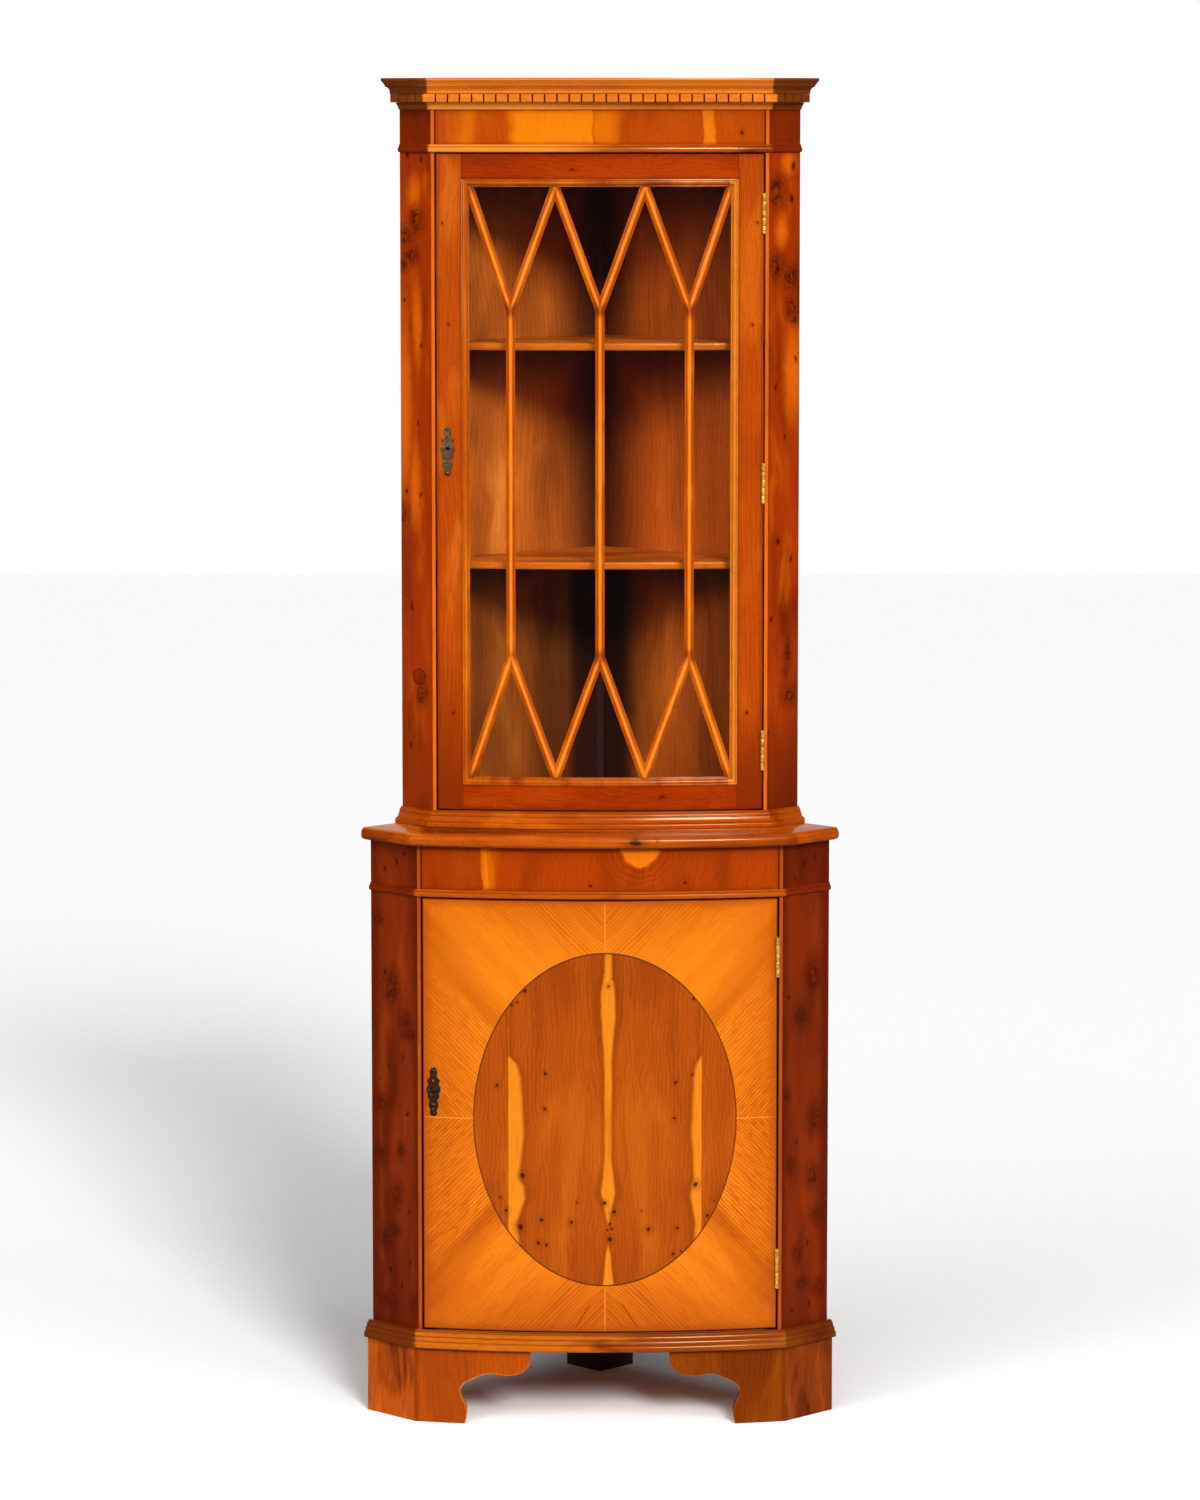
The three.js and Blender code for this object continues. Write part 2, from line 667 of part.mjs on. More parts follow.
// Base door, with its lock, escutcheon, key and hinges.
const baseDoorPanel = board(
  bandOutline(baseStage, -baseStage.doorHalf, baseStage.doorHalf, 0, -doorThickness),
  baseDoorZ, baseDoorZ + baseDoorHeight,
);
addPiece(
  "base_door_panel",
  cut(baseDoorPanel, [
    ...baseHinges.map((z) => hingeRecess(baseStage, z)),
    lockPocket(baseStage, baseLock),
    keyBore(baseStage, baseLock, keyholeBore),
  ]),
  yewCrossbanded,
);
addPiece("base_escutcheon", escutcheon(baseStage, baseLock), agedBrass);
addPiece("base_lock_case", lockCase(baseStage, baseLock), lockSteel);
addPiece("base_lock_bolt", lockBolt(baseLock), brass);
addPiece("base_key", key(baseStage, baseLock), agedBrass);

function addHinges(word, stage, heights) {
  heights.forEach((z, i) => {
    addPiece(word + "_hinge_" + (i + 1) + "_fixed_leaf", hingeLeaf(stage, z, 1), brass);
    addPiece(word + "_hinge_" + (i + 1) + "_door_leaf", hingeLeaf(stage, z, -1), brass);
  });
}
addHinges("base", baseStage, baseHinges);

// Upper carcass.
for (const [word, side] of Object.entries(sides)) {
  const stile = board(stileOutline(upperStage, side), upperFootZ, upperTopZ);
  const recesses = side > 0
    ? upperHinges.map((z) => hingeRecess(upperStage, z))
    : [boltMortise(upperStage, upperLock)];
  addPiece("upper_" + word + "_stile", cut(stile, recesses), yewDark);
  const panel = board(panelOutline(upperStage, side), upperFootZ, upperTopZ);
  addPiece("upper_" + word + "_back_panel", panel, interiorVeneer);
}
const batten = [
  new THREE.Vector2(0, innerCornerY),
  new THREE.Vector2(-battenDepth, innerCornerY - battenDepth),
  new THREE.Vector2(battenDepth, innerCornerY - battenDepth),
];
const upperCeilingZ = upperTopZ - topThickness;
addPiece("rear_corner_batten", board(batten, upperFootTopZ + seat, upperCeilingZ - seat), interiorVeneer);
addPiece(
  "upper_bottom_board",
  board(insideOutline(upperStage, 0, 0), upperFootTopZ - bottomThickness, upperFootTopZ),
  interiorVeneer,
);
addPiece(
  "upper_top_board",
  board(insideOutline(upperStage, -friezeThickness - seat, 0), upperCeilingZ, upperTopZ),
  interiorVeneer,
);
const shelfCut = battenDepth + seat;
const glazedShelfHeights = { lower: 340, upper: 650 };
for (const [word, above] of Object.entries(glazedShelfHeights)) {
  const lowZ = upperDoorZ + above;
  const shelf = board(insideOutline(upperStage, -shelfSetback, shelfCut), lowZ, lowZ + glazedShelfThickness);
  addPiece(word + "_shelf", shelf, interiorVeneer);
}
addPiece("upper_frieze", frieze(upperStage, upperFriezeZ, upperTopZ), yewVeneer);
addPiece(
  "upper_frieze_moulding",
  mouldingRun(upperStage, friezeMouldingShares, friezeMouldingProud, upperFriezeZ, friezeMouldingHeight),
  yewDark,
);
addPiece(
  "upper_foot_moulding",
  mouldingRun(upperStage, upperFootShares, upperFootProud, upperFootZ, upperFootHeight),
  yewMoulding,
);
addPiece("bed_moulding", mouldingRun(upperStage, bedShares, bedProud, bedZ, bedHeight), yewMoulding);
addPiece(
  "cornice_moulding",
  mouldingRun(upperStage, corniceShares, corniceProud, corniceZ, corniceHeight),
  yewMoulding,
);

// The dentil course: blocks along a backing strip, sawn from one length on the bow and one on each cant.
const dentilPitch = 16.9;
const dentilSlit = 2.2;

function dentilOutline(stage) {
  const outerCorner = bowMeetsCant(stage, dentilProud, dentilProud);
  const radius = bowRadius + dentilProud;
  const bowHalf = Math.asin(outerCorner.x / radius);
  const count = Math.round((2 * bowHalf * radius) / dentilPitch);
  const step = (2 * bowHalf) / count;
  const slit = dentilSlit / radius;
  const centre = new THREE.Vector2(0, stage.centreY);
  const turned = (angle, proud) =>
    new THREE.Vector2(Math.sin(angle), -Math.cos(angle)).multiplyScalar(bowRadius + proud).add(centre);
  const front = [outerCorner.clone().setX(-outerCorner.x)];
  for (let i = 1; i < count; i++) {
    const middle = -bowHalf + i * step;
    front.push(turned(middle - slit / 2, dentilProud), turned(middle - slit / 2, dentilBackProud));
    front.push(turned(middle + slit / 2, dentilBackProud), turned(middle + slit / 2, dentilProud));
  }
  front.push(outerCorner);
  const cantDepth = cantDepthOf(outerCorner);
  const cantCount = Math.round(cantDepth / dentilPitch);
  const right = [];
  for (let i = 1; i < cantCount; i++) {
    const depth = cantDepth * (1 - i / cantCount);
    const [near, far] = [depth + dentilSlit / 2, depth - dentilSlit / 2];
    const [outer, inner] = [stage.cantAlong + dentilProud, stage.cantAlong + dentilBackProud];
    right.push(besideWall(outer, near, 1), besideWall(inner, near, 1));
    right.push(besideWall(inner, far, 1), besideWall(outer, far, 1));
  }
  right.push(besideWall(stage.cantAlong + dentilProud, wallInset, 1));
  const left = right.map((point) => new THREE.Vector2(-point.x, point.y)).reverse();
  return [...left, ...front, ...right, ...frontLine(stage, seat).reverse()];
}

function cantDepthOf(point) {
  return (wallCornerY - point.y - point.x) * Math.SQRT1_2;
}
addPiece("dentil_course", board(dentilOutline(upperStage), dentilZ, dentilZ + dentilHeight), yewMoulding);

// Glazed door: a bowed frame, the moulding round its sight edge, the glass, a bead and the glazing bars.
const stileFlat = 35;
const sightWidth = 11;
const sightMouldingDepth = 11.7;
const glassThickness = 3;
const glassLap = 7;
const beadInset = 1;
const sightHalf = upperStage.doorHalf - stileFlat - sightWidth;
const sightLowZ = upperDoorZ + stileFlat + sightWidth;
const sightHighZ = upperDoorZ + upperDoorHeight - stileFlat - sightWidth;
const glassProud = -sightMouldingDepth - seat;

// A moulding carried round the door's opening, mitred at its four corners and following the bow.
function sightRun(profile) {
  const lines = profile.map(([out, proud]) => {
    const halfWidth = sightHalf + out;
    const lower = atHeight(bowLine(upperStage, -halfWidth, halfWidth, proud), sightLowZ - out);
    const upper = atHeight(bowLine(upperStage, halfWidth, -halfWidth, proud), sightHighZ + out);
    return [...lower, ...upper];
  });
  const rings = lines[0].map((_, station) => lines.map((line) => line[station]));
  return loft(rings, [], true);
}
const sightShares = [
  [0, 1], [0, 0.52], [0.1, 0.46], [0.22, 0.46], [0.28, 0.3], [0.44, 0.16], [0.62, 0.1], [0.78, 0.12],
  [0.8, 0.02], [0.97, 0], [0.97, 1],
];
const sightProfile = sightShares.map(([out, back]) => [out * sightWidth, -back * sightMouldingDepth]);

const frameHalf = sightHalf + sightWidth;
const frameLowZ = sightLowZ - sightWidth;
const frameHighZ = sightHighZ + sightWidth;
const upperDoorTopZ = upperDoorZ + upperDoorHeight;
for (const [word, side] of Object.entries(sides)) {
  const [nearX, farX] = [side * frameHalf, side * upperStage.doorHalf];
  const outline = bandOutline(upperStage, nearX, farX, 0, -doorThickness, 1);
  const cutters = side > 0
    ? upperHinges.map((z) => hingeRecess(upperStage, z))
    : [lockPocket(upperStage, upperLock), keyBore(upperStage, upperLock, keyholeBore)];
  const stile = board(outline, upperDoorZ, upperDoorTopZ);
  addPiece("upper_door_" + word + "_stile", cut(stile, cutters), yewVeneer);
}
const railHalf = frameHalf - seat;
const railOutline = bandOutline(upperStage, -railHalf, railHalf, 0, -doorThickness);
addPiece("upper_door_bottom_rail", board(railOutline, upperDoorZ, frameLowZ), yewVeneer);
addPiece("upper_door_top_rail", board(railOutline, frameHighZ, upperDoorTopZ), yewVeneer);
addPiece("sight_moulding", sightRun(sightProfile), yewMoulding);

const glassHalf = sightHalf + glassLap;
addPiece(
  "door_glass",
  board(
    bandOutline(upperStage, -glassHalf, glassHalf, glassProud, glassProud - glassThickness),
    sightLowZ - glassLap, sightHighZ + glassLap,
  ),
  drawnGlass,
);
const beadFront = glassProud - glassThickness - seat;
const beadProfile = [
  [beadInset, beadFront],
  [sightWidth - beadInset, beadFront],
  [sightWidth - beadInset, -doorThickness],
  [beadInset, -doorThickness],
];
addPiece("glazing_bead", sightRun(beadProfile), yewMoulding);

// Glazing bars: three uprights, branching at both ends into points that meet the frame.
const barWidth = 13;
const barDepth = 10;
const columnPitchShare = 0.685;
const columnPitch = columnPitchShare * sightHalf;
const branchShare = 0.207;
const branchHeight = branchShare * (sightHighZ - sightLowZ);
const barSectionShares = [
  [-0.5, 0], [0.5, 0], [0.5, 0.55], [0.3, 0.68], [0, 1], [-0.3, 0.68], [-0.5, 0.55],
];

function bar(fromX, fromZ, toX, toZ) {
  const proud = -sightMouldingDepth + seat / 2;
  const middleAngle = Math.asin((fromX + toX) / 2 / bowRadius);
  const out = new THREE.Vector3(Math.sin(middleAngle), -Math.cos(middleAngle), 0);
  const from = atHeight([onBow(upperStage, fromX, proud)], fromZ)[0];
  const to = atHeight([onBow(upperStage, toX, proud)], toZ)[0];
  const along = to.clone().sub(from);
  const length = along.length();
  along.normalize();
  const across = new THREE.Vector3().crossVectors(out, along).normalize();
  const square = new THREE.Vector3().crossVectors(along, across);
  const points = barSectionShares.map(([x, y]) => new THREE.Vector2(x * barWidth, y * barDepth));
  const run = new THREE.ExtrudeGeometry(new THREE.Shape(points), {
    depth: length + barWidth, bevelEnabled: false,
  });
  run.translate(0, 0, -barWidth / 2);
  const place = new THREE.Matrix4().makeBasis(across, square, along).setPosition(from);
  return run.applyMatrix4(place);
}

function glazingBars() {
  const columns = [-1, 0, 1];
  const bars = [];
  const highZ = sightHighZ - branchHeight;
  const lowZ = sightLowZ + branchHeight;
  for (const column of columns) {
    const x = column * columnPitch;
    bars.push(bar(x, lowZ, x, highZ));
    for (const side of [-1, 1]) {
      const outX = Math.max(-sightHalf, Math.min(sightHalf, x + (side * columnPitch) / 2));
      bars.push(bar(x, highZ, outX, sightHighZ), bar(x, lowZ, outX, sightLowZ));
    }
  }
  const halfX = sightHalf - seat;
  const frontY = onBow(upperStage, 0, overrun).y;
  const backY = onBow(upperStage, halfX, -doorThickness).y;
  const opening = block(-halfX, halfX, frontY, backY, sightLowZ + seat, sightHighZ - seat);
  const joined = bars.map(solidOf).reduce((whole, piece) => whole.add(piece));
  return geometryOf(joined.intersect(solidOf(opening)));
}
addPiece("glazing_bars", glazingBars(), yewMoulding);

addPiece("upper_escutcheon", escutcheon(upperStage, upperLock), agedBrass);
addPiece("upper_lock_case", lockCase(upperStage, upperLock), lockSteel);
addPiece("upper_lock_bolt", lockBolt(upperLock), brass);
addHinges("upper", upperStage, upperHinges);

// The origin is under the middle of the whole outline, on the floor.
const frontMostY = onBow(baseStage, 0, waistProud).y;
const rearMostY = besideWall(seat, 0, 1).y;
cupboard.position.y = -(frontMostY + rearMostY) / 2;
cupboard.name = "corner_cupboard";

export default cupboard;
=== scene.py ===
import math

import bpy
import numpy as np
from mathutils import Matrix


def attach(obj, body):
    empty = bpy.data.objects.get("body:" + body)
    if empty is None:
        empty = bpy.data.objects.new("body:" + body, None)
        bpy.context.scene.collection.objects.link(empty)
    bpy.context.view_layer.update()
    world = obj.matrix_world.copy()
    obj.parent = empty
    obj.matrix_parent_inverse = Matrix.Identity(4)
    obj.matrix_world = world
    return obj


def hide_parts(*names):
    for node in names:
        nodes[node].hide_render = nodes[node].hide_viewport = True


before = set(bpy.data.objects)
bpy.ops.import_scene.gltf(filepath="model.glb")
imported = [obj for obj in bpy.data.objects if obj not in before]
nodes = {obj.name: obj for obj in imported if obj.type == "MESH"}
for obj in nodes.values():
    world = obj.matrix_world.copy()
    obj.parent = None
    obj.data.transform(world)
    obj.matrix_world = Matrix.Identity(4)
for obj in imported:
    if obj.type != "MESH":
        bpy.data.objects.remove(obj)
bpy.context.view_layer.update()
scene = bpy.context.scene
scene.view_settings.view_transform = "Standard"

# ---------------------------------------------------------------------------------------------
# The view: a long lens, level with the upper door and well back from the front, tipped down a
# little so that the plinth's feet and the cornice both fall inside the upright picture.
# ---------------------------------------------------------------------------------------------
eye = bpy.data.cameras.new("long_lens")
eye.lens = 128.64
eye.sensor_width = 36
eye.clip_end = 90
camera = bpy.data.objects.new("camera", eye)
camera.location = (0, -7.67324, 1.8526)
camera.rotation_euler = (math.radians(90 - 6.756), 0, 0)
scene.collection.objects.link(camera)
scene.camera = camera


# ---------------------------------------------------------------------------------------------
# The room: a pale floor without a horizon, and soft daylight from the front, a little from the
# right, which lays the long faint shadow behind the left side of the cupboard.
# ---------------------------------------------------------------------------------------------
class Shade:
    """One socket of a material's nodes, reckoned with as a number or a vector.

    The operators add Math nodes, the vector methods Vector Math nodes, and mix() a Mix node.
    """

    def __init__(self, tree, socket):
        self.tree = tree
        self.socket = socket

    @staticmethod
    def start(name, kind="TexCoord", out=3):
        """Makes a material and gives its object coordinates, in metres, as the first Shade."""
        material = bpy.data.materials.new(name)
        material.use_nodes = True
        material.node_tree.nodes.clear()
        return Shade(material.node_tree, None).add(kind, {}, {}, out)

    def add(self, kind, settings, values, out=0):
        """Adds a node: its settings come first, then the values or links of its sockets."""
        node = self.tree.nodes.new("ShaderNode" + kind)
        for name, value in settings.items():
            if name == "stops":
                stops = node.color_ramp.elements
                stops[1].position, stops[1].color = value[-1][0], (value[-1][1],) * 3 + (1,)
                stops[0].position, stops[0].color = value[0][0], (value[0][1],) * 3 + (1,)
                for at, level in value[1:-1]:
                    stops.new(at).color = (level, level, level, 1)
            else:
                setattr(node, name, value)
        for key, value in values.items():
            if isinstance(value, Shade):
                self.tree.links.new(value.socket, node.inputs[key])
            else:
                node.inputs[key].default_value = value
        return Shade(self.tree, node.outputs[out] if len(node.outputs) else None)

    def math(self, operation, first, second=0.0):
        return self.add("Math", {"operation": operation}, {0: first, 1: second})

    def __add__(self, other):
        return self.math("ADD", self, other)

    __radd__ = __add__

    def __sub__(self, other):
        return self.math("SUBTRACT", self, other)

    def __rsub__(self, other):
        return self.math("SUBTRACT", other, self)

    def __mul__(self, other):
        return self.math("MULTIPLY", self, other)

    __rmul__ = __mul__

    def __truediv__(self, other):
        return self.math("DIVIDE", self, other)

    def __abs__(self):
        return self.math("ABSOLUTE", self)

    def least(self, other):
        return self.math("MINIMUM", self, other)

    def most(self, other):
        return self.math("MAXIMUM", self, other)

    def rise(self, low, high):
        """0 below low and 1 above high, with a smooth step between; low above high falls."""
        return self.add(
            "MapRange", {"interpolation_type": "SMOOTHSTEP"}, {0: self, 1: low, 2: high}
        )

    def mix(self, first, second, blend="MIX"):
        """This Shade, from 0 to 1, as the share of the second colour over the first."""
        return self.add(
            "Mix", {"data_type": "RGBA", "blend_type": blend}, {0: self, 6: first, 7: second}, 2
        )

    def vector(self, operation, other, out=0):
        return self.add("VectorMath", {"operation": operation}, {0: self, 1: other}, out)

    def split(self):
        return [self.add("SeparateXYZ", {}, {0: self}, axis) for axis in range(3)]

    def join(self, x, y, z):
        return self.add("CombineXYZ", {}, {0: x, 1: y, 2: z})

    def noise(self, scale, detail=2.0, rough=0.5, bend=0.0, out=0):
        values = {"Vector": self, "Scale": scale, "Detail": detail}
        values.update({"Roughness": rough, "Distortion": bend})
        return self.add("TexNoise", {}, values, out)

    def finish(self, colour, roughness=0.5, bump=None, depth=0.0002, **sockets):
        """Closes the material with a Principled shader and gives the material."""
        values = {"Base Color": colour, "Roughness": roughness}
        values.update({name.replace("_", " "): value for name, value in sockets.items()})
        if bump is not None:
            values["Normal"] = self.add(
                "Bump", {}, {"Strength": 1.0, "Distance": depth, "Height": bump}
            )
        shader = self.add("BsdfPrincipled", {}, values)
        self.add("OutputMaterial", {}, {"Surface": shader})
        return next(made for made in bpy.data.materials if made.node_tree == self.tree)


def seen_directly(shade):
    """1 for rays from the camera, a mirror or glass, and 0 for the rays that carry the light."""
    rays = [shade.add("LightPath", {}, {}, name) for name in
            ("Is Camera Ray", "Is Glossy Ray", "Is Transmission Ray")]
    return rays[0].most(rays[1]).most(rays[2])


floor_grey, mirrored_floor = (0.99, 0.99, 0.99, 1), (0.05, 0.05, 0.05, 1)
floor_place = Shade.start("pale_floor")
in_lacquer = floor_place.add("LightPath", {}, {}, "Is Glossy Ray")
floor_colour = in_lacquer.mix(floor_grey, mirrored_floor)
floor_material = floor_place.finish(floor_colour, 1.0, Specular_IOR_Level=0.0)
floor_mesh = bpy.data.meshes.new("floor")
floor_mesh.from_pydata(
    [(-7, -2.4, 0), (7, -2.4, 0), (9, 14, 0), (-9, 14, 0)], [], [(0, 1, 2, 3)]
)
floor_mesh.materials.append(floor_material)
floor = bpy.data.objects.new("floor", floor_mesh)
scene.collection.objects.link(floor)

world = bpy.data.worlds.new("studio")
world.use_nodes = True
world.node_tree.nodes.clear()
scene.world = world
sky_start = Shade(world.node_tree, None)
low_light, high_light = (0.02, 0.02, 0.02, 1), (3.45, 3.45, 3.45, 1)
rear_light = (0.02, 0.02, 0.02, 1)
dim_room = (0.035, 0.035, 0.035, 1)
white = (1, 1, 1, 1)
_, ahead, height = sky_start.add("TexCoord", {}, {}, 0).split()
front_light = height.rise(0.05, 0.85).mix(low_light, high_light)
room_light = ahead.rise(-0.75, -0.12).mix(front_light, rear_light)
mirrored_room = ahead.rise(0.70, 0.98).mix(dim_room, white)
in_a_mirror = sky_start.add("LightPath", {}, {}, "Is Glossy Ray")
sky_colour = seen_directly(sky_start).mix(room_light, in_a_mirror.mix(white, mirrored_room))
sky = sky_start.add("Background", {}, {"Color": sky_colour, "Strength": 1.0})
sky_start.add("OutputWorld", {}, {"Surface": sky})


def lamp(name, kind, energy, place, aim, **settings):
    """A lamp at a place, turned so that it shines on the point aimed at."""
    data = bpy.data.lights.new(name, kind)
    data.energy = energy
    for key, value in settings.items():
        setattr(data, key, value)
    made = bpy.data.objects.new(name, data)
    along = np.array(aim, float) - np.array(place, float)
    made.location = place
    made.rotation_euler = (
        math.atan2(math.hypot(along[0], along[1]), -along[2]),
        0,
        math.atan2(along[1], along[0]) - math.pi / 2,
    )
    scene.collection.objects.link(made)


middle = (0, 0, 1.0)
lamp("daylight", "SUN", 2.7, (1.25, -4.4, 3.4), middle, angle=math.radians(15))
lamp("left_softbox", "AREA", 42, (-2.9, -3.6, 2.6), middle, size=1.1)
lamp("right_softbox", "AREA", 12, (3.4, -2.6, 2.2), middle, size=0.9)


# ---------------------------------------------------------------------------------------------
# Bracket feet: two brackets sawn from yew-veneered board, bowed with the front and glued into
# the corners of the plinth. The sawn edge is worn pale and the veneer is cut off at a butt joint.
# ---------------------------------------------------------------------------------------------
bow_radius = 1.140
wall_corner = 0.395
wall_inset = 0.0005
seat = 0.0003
base_half_front = 0.259
foot_height = 0.108


def stage_of(half_front, front_corner):
    """One stage in plan: the middle of the bow's circle, and how far along the walls it reaches."""
    middle_y = front_corner + math.sqrt(bow_radius ** 2 - half_front ** 2)
    return middle_y, (half_front - front_corner + wall_corner) * math.sqrt(0.5)


base_stage = stage_of(base_half_front, 0.0)
waist_proud = 0.0185
front_most = base_stage[0] - (bow_radius + waist_proud)
rear_most = wall_corner - seat * math.sqrt(0.5)
shift = -(front_most + rear_most) / 2


def bow_y(stage, x, proud):
    """The bow in plan: a circle about the stage's middle, moved out by proud."""
    return stage[0] - np.sqrt((bow_radius + proud) ** 2 - np.square(x)) + shift


def beside_wall(along, depth, side):
    """A plan point by its way along a wall from the room's corner and its depth out from it."""
    x = (along - depth) * math.sqrt(0.5)
    y = wall_corner - (along + depth) * math.sqrt(0.5) + shift
    return np.array([side * x, y])


def cant_corner(stage, bow_proud, cant_proud):
    """Where the bow, moved out by one amount, meets the right cant, moved out by another.

    The cant is the line x = y + lead, set into the bow's circle and solved for the nearer y.
    """
    lead = (stage[1] + cant_proud) * math.sqrt(2) - wall_corner
    half = (stage[0] - lead) / 2
    spread = half ** 2 - (lead ** 2 + stage[0] ** 2 - (bow_radius + bow_proud) ** 2) / 2
    y = half - math.sqrt(spread)
    return np.array([y + lead, y + shift])


def shell(front, back):
    """A closed skin from two grids of points: both faces, and a strip round their four edges."""
    rows, cols = front.shape[:2]
    index = np.arange(rows * cols).reshape(rows, cols)
    faces = []
    for sheet, start in ((index, 0), (index[:, ::-1], rows * cols)):
        quads = np.stack([sheet[:-1, :-1], sheet[1:, :-1], sheet[1:, 1:], sheet[:-1, 1:]], -1)
        faces.append(quads.reshape(-1, 4) + start)
    ring = np.concatenate([index[0, :-1], index[:-1, -1], index[-1, :0:-1], index[:0:-1, 0]])
    after = np.roll(ring, -1)
    count = rows * cols
    faces.append(np.stack([ring, after, after + count, ring + count], -1))
    points = np.concatenate([front.reshape(-1, 3), back.reshape(-1, 3)])
    return points, faces


def merged(points, blocks, gap=1e-6):
    """Joins points that lie in one place and drops the faces' doubled corners with them."""
    keys, first, back = np.unique(
        np.round(points / gap).astype(np.int64), axis=0, return_index=True, return_inverse=True
    )
    linked = [row for block in blocks for row in back.reshape(-1)[np.asarray(block)].tolist()]
    kept = [list(dict.fromkeys(row)) for row in linked]
    return points[first], [row for row in kept if len(row) > 2], first


def volume_of(points, faces):
    """Six times the volume inside the faces, by the sum of their corners' triple products."""
    total = 0.0
    for size in sorted({len(face) for face in faces}):
        rows = points[np.array([face for face in faces if len(face) == size])]
        for i in range(1, size - 1):
            total += np.sum(rows[:, 0] * np.cross(rows[:, i], rows[:, i + 1]))
    return total


def put(name, points, blocks, material, body, slot, replaced=(), ease=0.0, sharp=28, keep=()):
    """Makes the piece: merges its seams, turns its faces outwards and gives it to its body. What
    is to be kept with the mesh is a number for every point, under a name."""
    points, faces, first = merged(np.asarray(points, float), blocks)
    if volume_of(points, faces) < 0:
        faces = [face[::-1] for face in faces]
    mesh = bpy.data.meshes.new(name)
    mesh.from_pydata(points.tolist(), [], faces)
    for label in keep:
        kept = mesh.attributes.new(label, "FLOAT", "POINT")
        kept.data.foreach_set("value", np.asarray(keep[label], float)[first])
    mesh.materials.append(material)
    mesh.shade_smooth()
    mesh.set_sharp_from_angle(angle=math.radians(sharp))
    piece = bpy.data.objects.new(name, mesh)
    scene.collection.objects.link(piece)
    if ease:
        bevel = piece.modifiers.new("eased_edge", "BEVEL")
        bevel.width = ease
        bevel.segments = 2
        bevel.limit_method = "ANGLE"
        bevel.angle_limit = math.radians(sharp)
        bevel.use_clamp_overlap = True
        bevel.harden_normals = False
    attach(piece, body)
    if replaced:
        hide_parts(*replaced)
    return piece


def tone(red, green, blue):
    """A colour as a screen shows it, from 0 to 255, in the linear light that a shader reckons in."""
    screen = np.array([red, green, blue]) / 255
    linear = np.where(screen <= 0.04045, screen / 12.92, ((screen + 0.055) / 1.055) ** 2.4)
    return (*[float(share) for share in linear], 1.0)


def grain_frame(place, along):
    """The piece's coordinates turned so that the third runs along the grain."""
    x, y, z = place.split()
    if along == "x":
        return place.join(z, y, x)
    if along == "cant":
        return place.join(abs(x) * 0.7071 + y * 0.7071, abs(x) * 0.7071 - y * 0.7071, z)
    return place.join(x, y, z)


def nearest_knot(place, knots):
    """The distance from the nearest knot, in that knot's own size, round an oval: x, z, half
    width and half height in mm. A little noise makes the oval ragged."""
    wander = place.noise(90, 3, out=1).vector("SUBTRACT", (0.5, 0.5, 0.5))
    flat = place.vector("ADD", wander.vector("MULTIPLY", (0.008, 0, 0.008)))
    reach = None
    for x, z, half_x, half_z in knots:
        away = flat.vector("SUBTRACT", (x / 1000, 0, z / 1000))
        away = away.vector("MULTIPLY", (1000 / half_x, 0, 1000 / half_z))
        here = away.vector("LENGTH", (0, 0, 0), 1)
        reach = here if reach is None else reach.least(here)
    return reach


lacquer = {"Coat_Weight": 0.08, "Coat_Roughness": 0.05, "Specular_IOR_Level": 0.3,
           "Specular_Tint": (1, 0.66, 0.34, 1)}
ember = tone(44, 12, 2)


